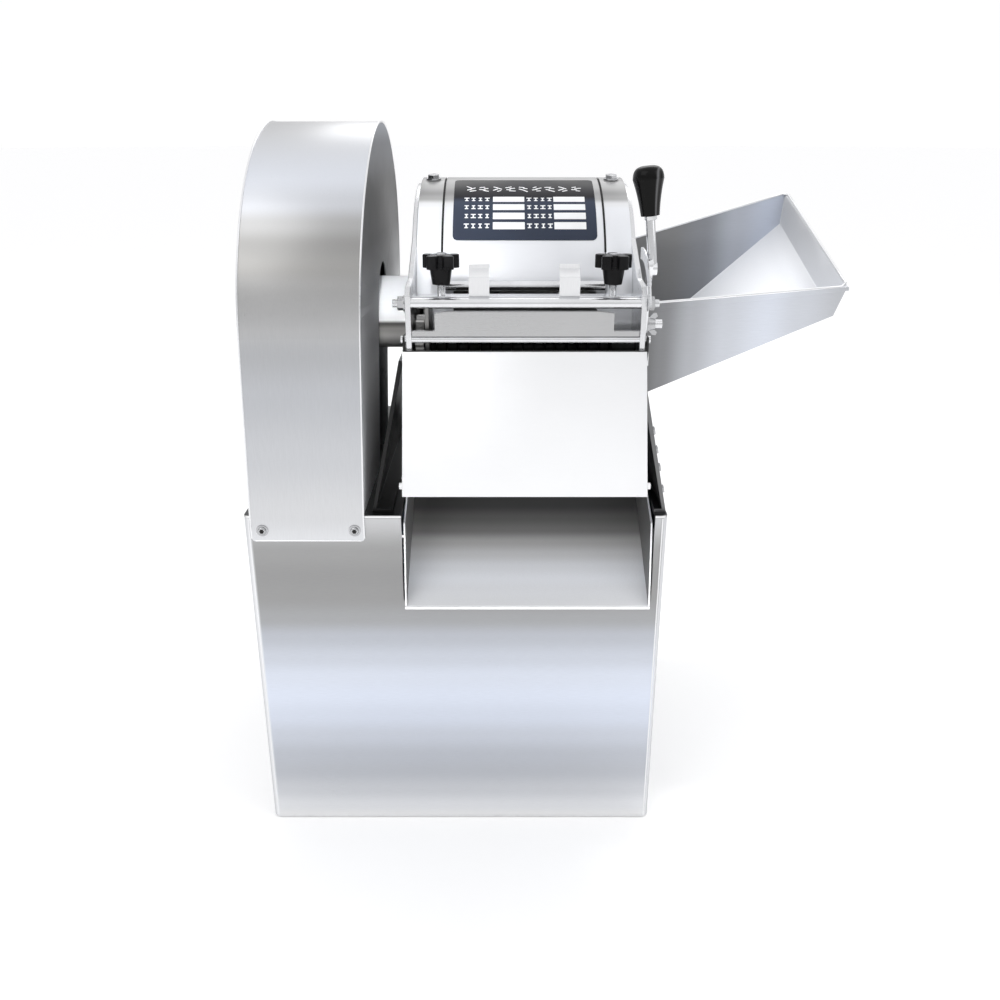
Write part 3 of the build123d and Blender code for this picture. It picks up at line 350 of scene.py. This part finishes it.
def phenolic(name):
    """Polished black resin, with a painted highlight: the pale streak down one side that a window's
    reflection leaves on it, and a faint pale rim, painted into the base colour by facing.
    """
    paint = Paint(name, specular_ior_level=0.12)
    smears = paint.noise(60, 3)
    # painted highlight: pale bands by facing stand in for a window's reflection and a faint rim
    streak = paint.ramp(paint.scaled(paint.axis(paint.normal, "X"), -1, 1), [
        (0.0, (0.05, 0.05, 0.052)), (0.12, (0.004, 0.004, 0.004)), (0.66, (0.005, 0.005, 0.005)),
        (0.74, (0.12, 0.12, 0.125)), (0.80, (0.03, 0.03, 0.03)), (0.86, (0.003, 0.003, 0.003)),
        (1.0, (0.04, 0.04, 0.04))])
    paint.colour(streak)
    paint.rough(paint.scaled(smears, 0.3, 0.7, 0.12, 0.22))
    paint.bump(paint.noise(300, 2), 0.03, 0.0001)
    return paint.material


def enamel(name, colour, roughness=0.35, cells=420):
    """Sprayed paint with the skin that hammer enamel or powder coat leaves."""
    paint = Paint(name, coat_weight=0.2)
    skin = paint.cells(cells)
    dust = paint.noise(16, 5)
    paint.colour(paint.blend(paint.scaled(dust, 0.4, 0.8), colour,
                             tuple(channel * 0.7 + 0.02 for channel in colour)))
    paint.rough(paint.scaled(dust, 0.3, 0.8, roughness - 0.05, roughness + 0.15))
    paint.bump(skin, 0.25, 0.0003)
    return paint.material


def printed_film(name):
    """Dark printed film on the name plate, nearly smooth, with a painted reflection: paler navy at the front,
    nearly black further back and up.
    """
    paint = Paint(name, specular_ior_level=0.12)
    smears = paint.noise(20, 4)
    # painted reflection: the film's tone changes along Y, paler navy at the front and nearly black towards
    # the top
    top = painted_band_tone(paint, "Y", [
        (plate_low.y, (0.035, 0.044, 0.068)), (shaft.y - 0.52 * band_radius, (0.036, 0.046, 0.074)),
        (shaft.y - 0.45 * band_radius, (0.005, 0.005, 0.008)),
        (shaft.y - 0.15 * band_radius, (0.006, 0.006, 0.007))])
    paint.colour(paint.blend(paint.scaled(smears, 0.45, 1.6), top, (0.032, 0.034, 0.05)))
    paint.rough(paint.scaled(smears, 0.3, 0.7, 0.28, 0.42))
    paint.bump(paint.noise(500, 2), 0.04, 0.0001)
    return paint.material


def make_materials():
    """Every finish on the machine, by name. The drifting tones are painted reflections and painted shade:
    what the sheets mirror of the room and the shade they lie in, painted into the base colour by place and
    facing.
    """
    # painted reflections and highlights on the cabinet: blue-grey bands up the front, pale side edges and
    # pale faces turned sideways
    painted_edge_highlight = grey(240, 3)
    left, right = shell_low.x, shell_high.x
    cabinet = brushed("cabinet_steel", ("Z", [
        (0.0, grey(230)), (0.02, grey(220, 4)), (0.045, grey(202, 6)), (0.075, grey(186, 9)),
        (0.10, grey(188, 11)), (0.13, grey(200, 14)), (0.16, grey(212, 18)), (0.19, grey(219, 19)),
        (0.218, grey(216, 17)), (0.245, grey(203, 14)), (0.275, grey(187, 11)), (0.30, grey(168, 3)),
        (0.33, grey(157)), (0.36, grey(154)), (0.39, grey(160)), (0.437, grey(200, 2))]),
        GRAIN_ACROSS, strength=0.03,
        beyond=(("X", left + 0.009, left + 0.006, painted_edge_highlight),
                ("X", right - 0.0055, right - 0.003, painted_edge_highlight)),
        turned=(("X", 0.25, 0.8, grey(205, 4)), ("X", -0.25, -0.8, grey(205, 4))))
    arch = guard_high.z
    # painted reflections: bands up the guard's front to the arch, and a separate painted tone on faces turned
    # to the left
    guard = brushed("guard_steel", ("Z", [
        (0.40, grey(220, 4)), (0.437, grey(209, 3)), (0.51, grey(198, 5)), (0.583, grey(187, 6)),
        (0.628, grey(178, 4)), (0.66, grey(185, 1)), (0.68, grey(188)), (0.70, grey(183, -1)),
        (0.72, grey(173, -3)), (0.745, grey(160, -2)), (0.765, grey(179)), (0.785, grey(208, 7)),
        (0.81, grey(224, 10)), (arch, grey(212, 2))]),
        GRAIN_UPRIGHT, strength=0.03, turned=(("X", -0.5, -0.9, grey(196, 4)),))
    # painted shade and reflection on the guard's right side: pale low down, dark higher up, paler again at
    # the arch
    guard_side = brushed("guard_side_steel", ("Z", [
        (0.437, grey(240, 4)), (0.58, grey(236, 4)), (0.63, grey(205, 4)), (0.69, grey(140, 3)),
        (0.74, grey(88, 1)), (0.79, grey(76, 1)), (0.84, grey(108, 8)), (arch, grey(150, 12))]),
        GRAIN_UPRIGHT, 0.5, 0.02, metallic=0.1)
    # painted reflection and shade along the hopper: dark at the near end, brightest in the middle, greyer at
    # the far end
    near, far = hopper_low.x, hopper_high.x
    hopper = brushed("hopper_steel", ("X", [
        (near, grey(118, 1)), (near + 0.025, grey(140, 3)), (near + 0.06, grey(180, 7)),
        (near + 0.10, grey(206, 10)), (near + 0.15, grey(220, 14)), (near + 0.19, grey(208, 10)),
        (far, grey(192, 6))]), GRAIN_ACROSS, strength=0.03)
    # painted light and shade inside the hopper: shaded walls, a bright painted floor on faces turned up, and
    # a painted tone on the far end wall that darkens upwards
    hopper_inside = brushed("hopper_inside_steel", ("X", [
        (near, grey(124, 1)), (0.184, grey(128, 1)), (0.228, grey(134, 8)), (0.273, grey(174, 14)),
        (0.318, grey(190, 22)), (far, grey(160, 12))]),
        GRAIN_ACROSS, strength=0.02, metallic=0.1, roughness=0.45,
        turned=(("Z", 0.2, 0.6, ("X", [(0.28, grey(254, 1)), (0.30, grey(250, 3)), (0.318, grey(232, 5)),
                                       (0.338, grey(190, 4)), (far, grey(206, 6))])),
                ("X", -0.25, -0.7, ("Z", [(hopper_low.z + 0.11, grey(240, 8)),
                                          (hopper_high.z - 0.02, grey(196, 4))]))))
    # painted shade in the chute: bright at the lip and darker back under the flap; painted shade on the side
    # walls and a painted highlight on faces turned to the front
    lip = chute_low.y
    chute = brushed("chute_steel", ("Y", [
        (lip, grey(214, 4)), (lip + 0.021, grey(221, 6)), (lip + 0.036, grey(228, 8)),
        (lip + 0.051, grey(223, 7)), (lip + 0.067, grey(205, 3)), (lip + 0.083, grey(178)),
        (lip + 0.099, grey(124, -1)), (lip + 0.116, grey(100, -1)), (lip + 0.133, grey(68)),
        (chute_high.y, grey(40))]),
        GRAIN_BACK, 0.45, 0.02, metallic=0.1,
        turned=(("X", 0.5, 0.9, grey(112)), ("X", -0.5, -0.9, grey(112)), ("Y", -0.9, -0.99, grey(250, 2))))
    return {
        "cabinet": cabinet, "guard": guard, "guard_side": guard_side, "hopper": hopper,
        "hopper_inside": hopper_inside, "chute": chute,
        # painted shade: the deck is a dark sheet where it lies in shade under the head; faces turned to the
        # front take a painted highlight
        "deck": brushed("deck_steel", grey(84, 1), GRAIN_ACROSS, turned=(("Y", -0.4, -0.9, grey(240)),)),
        "rear": brushed("rear_steel", grey(200, 4), GRAIN_ACROSS),
        "flap": brushed("flap_steel", grey(223, 2), GRAIN_ACROSS, 0.55, 0.004, metallic=0.3, streak=0.012),
        "bracket": brushed("bracket_steel", grey(58), GRAIN_ACROSS, 0.45),
        # painted shade: dark plates in the drum's shade; faces turned to the front are darker left of the
        # middle and paler to the right
        "pedestal": brushed("pedestal_steel", grey(72, 1), GRAIN_UPRIGHT, 0.4,
                            turned=(("Y", -0.5, -0.9, ("X", [(shell_low.x, grey(50)), (cabinet_x, grey(50)),
                                                              (cabinet_x + 0.1, grey(122, 1)),
                                                              (shell_high.x, grey(122, 1))])),)),
        # painted reflection bands along the drum: bright at the front, a dark band, paler again towards the
        # back
        "drum": brushed("drum_steel", ("Y", [
            (shaft.y - 0.57 * band_radius, grey(230, 6)), (shaft.y - 0.53 * band_radius, grey(224, 3)),
            (shaft.y - 0.47 * band_radius, grey(160)), (shaft.y - 0.40 * band_radius, grey(136)),
            (shaft.y - 0.3 * band_radius, grey(150)), (shaft.y - 0.15 * band_radius, grey(170)),
            (shaft.y + 0.3 * band_radius, grey(216, 2)), (shaft.y + band_radius, grey(226, 2))]),
            GRAIN_ACROSS, 0.34, 0.004, metallic=0.5, streak=0.015),
        "plates": polished("end_plate_steel", 226, 0.24, GRAIN_UPRIGHT),
        # painted reflection and shade round the shaft housing: dark underneath, a dark band just under the
        # middle, bright on top
        "tube": brushed("tube_steel", ("Z", [
            (shaft.z - 0.046, grey(60)), (shaft.z - 0.040, grey(130)), (shaft.z - 0.033, grey(164, -1)),
            (shaft.z - 0.024, grey(186, -3)), (shaft.z - 0.015, grey(152, -4)),
            (shaft.z - 0.007, grey(84, -3)), (shaft.z - 0.002, grey(240, 2)),
            (shaft.z + 0.01, grey(250, 5)), (shaft.z + 0.046, grey(240, 6))]),
            GRAIN_ACROSS, 0.34, 0.008, metallic=0.15, streak=0.02),
        "bars": polished("bar_steel", 236, 0.14),
        "block": brushed("block_steel", grey(191, 1), GRAIN_ACROSS, 0.28),
        "clip": brushed("clip_steel", grey(240, 2), GRAIN_UPRIGHT, 0.34, 0.02),
        "seam": brushed("seam_steel", grey(244, 2), GRAIN_UPRIGHT, 0.3, 0.02),
        "machined": machined("machined_steel"),
        "cutters": machined("cutter_steel", 46, 0.4),
        "gears": machined("gear_steel", 214, 0.3),
        "iron": machined("pulley_iron_skin", 78, 0.5),
        "bolts": polished("bolt_zinc", 190, 0.24, GRAIN_BACK),
        "black": moulded("knob_plastic", (0.0035, 0.0035, 0.004), 0.3, gloss=0.13),
        "gloss": phenolic("phenolic_black"),
        "film": printed_film("plate_film"),
        "white_print": moulded("white_print", (0.86, 0.87, 0.88), 0.4, 700, (0.8, 0.81, 0.82)),
        "motor": enamel("motor_enamel", (0.07, 0.17, 0.3)),
        "powder": enamel("frame_powder", (0.05, 0.055, 0.06), 0.5, 900),
        "belt": moulded("belt_rubber_skin", (0.015, 0.015, 0.016), 0.7, 500),
        "rubber": moulded("foot_rubber_skin", (0.02, 0.02, 0.02), 0.75, 400),
        "green": moulded("start_green", (0.01, 0.3, 0.05), 0.25, 300, coat=0.3),
        "red": moulded("stop_red", (0.5, 0.012, 0.01), 0.25, 300, coat=0.3),
        "switch": moulded("switch_moulding", (0.03, 0.03, 0.033), 0.5),
        # painted shade: black for the shade in the gate's gaps and the screw sockets
        "shadow": moulded("painted_shade_black", (0.01, 0.01, 0.01), 0.7),
    }


# which CAD nodes take which finish
FINISHES = {
    "cabinet": ["cabinet_shell"], "deck": ["deck_plate"], "rear": ["rear_panel"], "guard": ["belt_guard"],
    "hopper": ["feed_hopper"], "chute": ["discharge_chute"], "flap": ["cutter_flap"],
    "pedestal": ["pedestal_left", "pedestal_right", "pedestal_back"],
    "drum": ["drum_casing", "left_band", "right_band", "slice_gate"],
    "plates": ["left_end_plate", "right_end_plate", "lever_quadrant"],
    "bars": ["tie_bars", "clamp_bar", "gate_lip_rod", "lever_arm"],
    "block": ["knife_block"], "clip": ["plate_clips"], "tube": ["shaft_housing"],
    "machined": ["gear_plate", "gate_hinge", "idler_pin", "shaft_bearings", "main_shaft", "motor_shaft",
                 "impeller", "inlet_ring", "stripper_comb"],
    "cutters": ["slicing_knife", "disc_cutter_shaft", "crosscut_roller"],
    "gears": ["main_gear", "idler_gear", "disc_gear", "crosscut_gear"],
    "iron": ["main_pulley", "motor_pulley"],
    "bolts": ["hex_fasteners", "cover_screws", "wing_nut"],
    "black": ["left_star_knob", "right_star_knob", "cable_gland"], "gloss": ["lever_knob"],
    "film": ["name_plate"], "motor": ["motor_housing", "fan_cover", "terminal_box"],
    "powder": ["base_frame", "motor_bracket"], "belt": ["drive_belts"], "rubber": ["rubber_feet"],
    "green": ["start_button"], "red": ["stop_button"], "switch": ["switch_plate"],
}
# widths of the rounded edges, in millimetres
SOFT_EDGES = {
    0.9: ["belt_guard", "cabinet_shell"], 0.7: ["left_end_plate", "right_end_plate", "knife_block"],
    0.5: ["feed_hopper", "discharge_chute", "cutter_flap", "clamp_bar", "plate_clips", "lever_quadrant",
          "lever_arm", "left_band", "right_band", "slice_gate", "hex_fasteners", "switch_plate"],
    0.4: ["pedestal_left", "pedestal_right"],
}


def dress_cad_nodes():
    """Gives each CAD node its finish and rounds the sharp edges of sheet and plate."""
    for finish_name, names in FINISHES.items():
        for name in names:
            data = nodes[name].data
            data.materials.clear()
            data.materials.append(materials[finish_name])
            for polygon in data.polygons:
                polygon.material_index = 0
    for width, names in SOFT_EDGES.items():
        for name in names:
            join = nodes[name].modifiers.new("join", "WELD")
            join.merge_threshold = 1e-6
            edge = nodes[name].modifiers.new("soft_edge", "BEVEL")
            edge.width = width * MM
            edge.segments = 2
            edge.limit_method = "ANGLE"
            edge.angle_limit = radians(40)
            edge.harden_normals = False
    # the flap's small side brackets are black; the guard's side and the hopper's inside take their own
    # painted reflections and painted shade
    second_finish("cutter_flap", "bracket", lambda spot, facing: spot.z > flap_high.z - 25 * MM
                  and spot.y > flap_high.y - 18.5 * MM)
    second_finish("belt_guard", "guard_side", lambda spot, facing: facing.x > 0.9)
    second_finish("feed_hopper", "hopper_inside", lambda spot, facing: facing.z > 0.3 or (
        spot.x > hopper_low.x + 5 * MM and (facing.x < -0.4 and spot.x < hopper_high.x - 1 * MM
                                            or facing.y < -0.4 and spot.y > hopper_high.y - 30 * MM)))


def second_finish(name, finish_name, chosen):
    """Gives the faces of one part that chosen(centre, normal) picks another finish."""
    data = nodes[name].data
    data.materials.append(materials[finish_name])
    for polygon in data.polygons:
        if chosen(polygon.center, polygon.normal):
            polygon.material_index = 1


# ---------------------------------------------------------------- mesh helpers
def piece(name, body, material, mesh_work, smooth=True):
    """Turns bmesh work into a piece that rides on a body."""
    bmesh.ops.recalc_face_normals(mesh_work, faces=mesh_work.faces)
    mesh = bpy.data.meshes.new(name)
    mesh_work.to_mesh(mesh)
    mesh_work.free()
    mesh.materials.append(materials[material])
    if smooth:
        mesh.shade_smooth()
        mesh.set_sharp_from_angle(angle=radians(35))
    made = bpy.data.objects.new(name, mesh)
    bpy.context.scene.collection.objects.link(made)
    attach(made, body)


def join_rings(work, rings):
    """Faces between rings of points, with both ends closed."""
    sides = len(rings[0])
    for first, second in zip(rings, rings[1:]):
        for k in range(sides):
            work.faces.new((first[k], first[(k + 1) % sides], second[(k + 1) % sides], second[k]))
    work.faces.new(rings[0][::-1])
    work.faces.new(rings[-1])


def sweep(work, path, radius, sides=8):
    """Adds a round bead of that radius along the points of path."""
    points = [Vector(point) for point in path]
    rings = []
    side = None
    for i, point in enumerate(points):
        along = (points[min(i + 1, len(points) - 1)] - points[max(i - 1, 0)]).normalized()
        if side is None:
            side = along.orthogonal().normalized()
        side = (side - along * side.dot(along)).normalized()
        across = along.cross(side)
        rings.append([work.verts.new(point + radius * (side * cos(2 * pi * k / sides)
                                                       + across * sin(2 * pi * k / sides)))
                      for k in range(sides)])
    join_rings(work, rings)


def about_axis(work, origin, facing, sides, rows):
    """Adds a closed skin about an axis: rows is (distance along it, radius at each of the sides) pairs."""
    turn = Vector(facing).to_track_quat("Z", "Y").to_matrix()
    origin = Vector(origin)
    join_rings(work, [[work.verts.new(origin + turn @ Vector((radius * cos(2 * pi * k / sides),
                                                              radius * sin(2 * pi * k / sides), along)))
                       for k, radius in enumerate(radii)]
                      for along, radii in rows])


def lathe(work, origin, facing, outline, sides=32):
    """Adds a lathe-turned shape: outline is (distance along the axis, radius) pairs."""
    about_axis(work, origin, facing, sides, [(along, [radius] * sides) for along, radius in outline])


def thread(work, origin, facing, radius, length):
    """Adds a screw thread: a rod skin whose radius rises and falls along a helix."""
    pitch, depth = 1.25 * MM, 0.55 * MM
    sides, per_turn = 24, 6
    count = int(length / pitch * per_turn)
    rows = []
    for row in range(count + 1):
        along = length * row / count
        laps = [(along / pitch - k / sides) % 1 for k in range(sides)]
        rows.append((along, [radius - depth * abs(2 * lap - 1) for lap in laps]))
    about_axis(work, origin, facing, sides, rows)


def arc(start, end, steps):
    """Evenly spaced numbers from start to end, both included."""
    return [start + (end - start) * i / steps for i in range(steps + 1)]


def on_shaft(x, radius, angle):
    """A point at that radius and angle about the main shaft; 0 degrees is the back and 90 the top."""
    return Vector((x, shaft.y + radius * cos(radians(angle)), shaft.z + radius * sin(radians(angle))))


# ---------------------------------------------------------------- name plate art
def make_name_plate():
    """Generic plate art: a row of plain marks over two columns of four empty fields."""
    proud, sunk = 0.22 * MM, -0.1 * MM           # the print's skin and its root, from the film's surface

    def patch(work, across, angle, wide, tall, tilt=0, corner=0.5 * MM):
        """Thin printed patch turned by tilt degrees. Its middle is at metres across from the plate's left
        edge, and at that angle about the shaft, 90 on top."""
        reach_x, reach_y = wide / 2 - corner, tall / 2 - corner
        turn = Matrix.Rotation(radians(tilt), 2)
        spots = []
        for x, y, start in ((reach_x, reach_y, 0), (-reach_x, reach_y, 90),
                            (-reach_x, -reach_y, 180), (reach_x, -reach_y, 270)):
            spots += [turn @ Vector((x + corner * cos(radians(step)), y + corner * sin(radians(step))))
                      for step in arc(start, start + 90, 3)]
        top, base = [[work.verts.new(on_shaft(plate_low.x + (across + spot.x), band_radius + lift,
                                              angle - spot.y / band_radius * 180 / pi)) for spot in spots]
                     for lift in (proud, sunk)]
        work.faces.new(top)
        work.faces.new(base[::-1])
        for k in range(len(top)):
            work.faces.new((top[k], top[k - 1], base[k - 1], base[k]))

    title = bmesh.new()
    for i in range(9):
        middle = (20 + i * 15.6) * MM
        for k in range(4):
            patch(title, middle + (k % 2 - 0.5) * 4.4 * MM, 109.3 + 1.1 * k,
                  (8.2 - 1.3 * ((i + k) % 3)) * MM, 1.7 * MM,
                  tilt=(i * 47 + k * 71) % 80 - 40, corner=0.8 * MM)
    piece("plate_title_marks", "gate", "white_print", title)

    fields, labels = bmesh.new(), bmesh.new()
    for row in range(4):
        angle = 119.1 + 5.07 * row
        for label_middle, field_middle in ((27.4 * MM, 64.5 * MM), (100.4 * MM, 135.4 * MM)):
            patch(fields, field_middle, angle, 36.8 * MM, 10.2 * MM)
            for i in range(4):
                middle = label_middle + (i - 1.5) * 8 * MM
                patch(labels, middle, angle - 0.8, (6.0 - (i + row) % 3) * MM, 1.5 * MM)
                patch(labels, middle, angle + 0.1, 1.6 * MM, 5.5 * MM)
                patch(labels, middle, angle + 0.95, (4.2 + (i * row) % 3) * MM, 1.5 * MM)
    piece("plate_fields", "gate", "white_print", fields)
    piece("plate_label_marks", "gate", "white_print", labels)


# ---------------------------------------------------------------- sheet-metal details
def make_guard_seams():
    """Ground weld beads where the guard's arched band meets its two side plates."""
    centre_z = guard_high.z - guard_radius
    work = bmesh.new()
    for x in (guard_left, guard_right):
        outline = [(guard_low.y, z) for z in arc(guard_low.z + 4 * MM, centre_z, 12)]
        outline += [(shaft.y + guard_radius * cos(radians(angle)),
                     centre_z + guard_radius * sin(radians(angle))) for angle in arc(180, 0, 60)[1:]]
        sweep(work, [(x + max(0, z - deck_high.z) * GUARD_LEAN, y, z) for y, z in outline], 1.1 * MM, 10)
    sweep(work, [(x, guard_low.y + 0.2 * MM, guard_low.z + 0.8 * MM)
                 for x in arc(guard_left + 4 * MM, guard_right - 4 * MM, 8)], 1.0 * MM, 10)
    piece("guard_seams", "machine", "seam", work)


def make_gate_gap_shade():
    """Thin black strips between the slice gate and the bands on either side of it: painted shade in the gaps.
    """
    gate_low, gate_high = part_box("slice_gate")
    top_end, front_end = 97, 146            # degrees about the shaft
    work = bmesh.new()
    for x in (gate_low.x - 0.8 * MM, gate_high.x + 0.8 * MM):
        path = [on_shaft(x, band_radius - 0.9 * MM, angle) for angle in arc(top_end, front_end, 30)]
        sweep(work, path, 1.25 * MM)
    piece("gate_gap_shade", "machine", "shadow", work)


def make_cabinet_hems():
    """Folded hems down the two front corners and along the bottom edge of the cabinet."""
    work = bmesh.new()
    for x in (shell_low.x + 6.2 * MM, shell_high.x - 6.2 * MM):
        sweep(work, [(x, shell_low.y + 0.5 * MM, z)
                     for z in arc(shell_low.z + 1 * MM, deck_low.z - 1 * MM, 10)], 0.9 * MM)
    sweep(work, [(x, shell_low.y + 0.4 * MM, shell_low.z + 1.2 * MM)
                 for x in arc(shell_low.x + 7 * MM, shell_high.x - 7 * MM, 12)], 1.2 * MM)
    piece("cabinet_hems", "machine", "seam", work)


def make_screw_socket_shade():
    """Dark hexagon discs on the guard's two front screws, painted shade for their sockets, and the washers
    under them.
    """
    heads_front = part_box("cover_screws")[0].y
    socket_shade, washers = bmesh.new(), bmesh.new()
    z = guard_low.z + 14 * MM
    for x in (guard_left + 13 * MM, guard_right - 11 * MM):
        lathe(socket_shade, (x, heads_front + 0.5 * MM, z), (0, -1, 0), [(0, 2.9 * MM), (0.62 * MM, 2.9 * MM)], 6)
        lathe(washers, (x, guard_low.y + 0.1 * MM, z), (0, -1, 0),
              [(0, 7.2 * MM), (0.9 * MM, 7.2 * MM), (1.1 * MM, 6.8 * MM), (1.1 * MM, 5.1 * MM)], 36)
    piece("screw_socket_shade", "machine", "shadow", socket_shade, smooth=False)
    piece("guard_washers", "machine", "bolts", washers)


def make_threads():
    """Cut threads on the star knobs' screws and the upper tie bar's ends."""
    clamp_low, clamp_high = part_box("clamp_bar")
    for body, node in (("left_knob", "left_star_knob"), ("right_knob", "right_star_knob")):
        low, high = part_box(node)
        work = bmesh.new()
        thread(work, ((low.x + high.x) / 2, (clamp_low.y + clamp_high.y) / 2, low.z - 0.2 * MM),
               (0, 0, 1), 4.55 * MM, 20.5 * MM)
        piece(node.replace("star_knob", "knob_thread"), body, "bars", work)
    low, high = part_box("tie_bars")
    work = bmesh.new()
    for x, way in ((low.x - 0.4 * MM, 1), (high.x + 0.4 * MM, -1)):
        thread(work, (x, (low.y + high.y) / 2, high.z - 5.5 * MM), (way, 0, 0), 4.3 * MM, 8 * MM)
    piece("tie_bar_threads", "machine", "bars", work)


def make_knob_caps():
    """A pressed metal insert in the top of each star knob and a ring under the lever's knob."""
    for body, node in (("left_knob", "left_star_knob"), ("right_knob", "right_star_knob")):
        low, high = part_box(node)
        work = bmesh.new()
        lathe(work, ((low.x + high.x) / 2, joints[body + "_turn"]["pos_m"][1], high.z - 0.6 * MM), (0, 0, 1),
              [(0, 5.2 * MM), (1.0 * MM, 5.2 * MM), (1.3 * MM, 4.9 * MM), (1.1 * MM, 3.4 * MM)], 28)
        piece(node + "_insert", body, "bolts", work)
    low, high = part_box("lever_knob")
    lean = Vector((-sin(LEVER_LEAN), 0, cos(LEVER_LEAN)))
    foot = Vector((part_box("lever_arm")[1].x - 10.0 * MM, (low.y + high.y) / 2, low.z + 1.0 * MM))
    work = bmesh.new()
    lathe(work, foot - lean * 4.5 * MM, lean,
          [(0, 5.6 * MM), (0.4 * MM, 6.6 * MM), (4.1 * MM, 6.6 * MM), (4.5 * MM, 6.0 * MM)], 28)
    piece("lever_collar", "lever", "bars", work)


def make_hopper_rim():
    """Rolled bead along three sides of the hopper's open top."""
    y_front, y_back = hopper_low.y + 4.5 * MM, hopper_high.y - 0.8 * MM
    # millimetres right of the cabinet's middle and above the floor, front to right to back
    corners = [Vector((cabinet_x + x * MM, y, z * MM)) for x, y, z in (
        (225.0, y_front, 665.5), (464.4, y_front, 686.0), (446.6, y_back, 777.0), (225.0, y_back, 712.0))]
    path = []
    for first, second in zip(corners, corners[1:]):
        path += [first.lerp(second, 0.03 + 0.94 * i / 8) for i in range(9)]
    work = bmesh.new()
    sweep(work, path, 1.6 * MM, 10)
    piece("hopper_rim_bead", "machine", "clip", work)


make_camera()
make_light()
materials = make_materials()
make_floor()
dress_cad_nodes()
make_name_plate()
make_guard_seams()
make_gate_gap_shade()
make_cabinet_hems()
make_screw_socket_shade()
make_threads()
make_knob_caps()
make_hopper_rim()
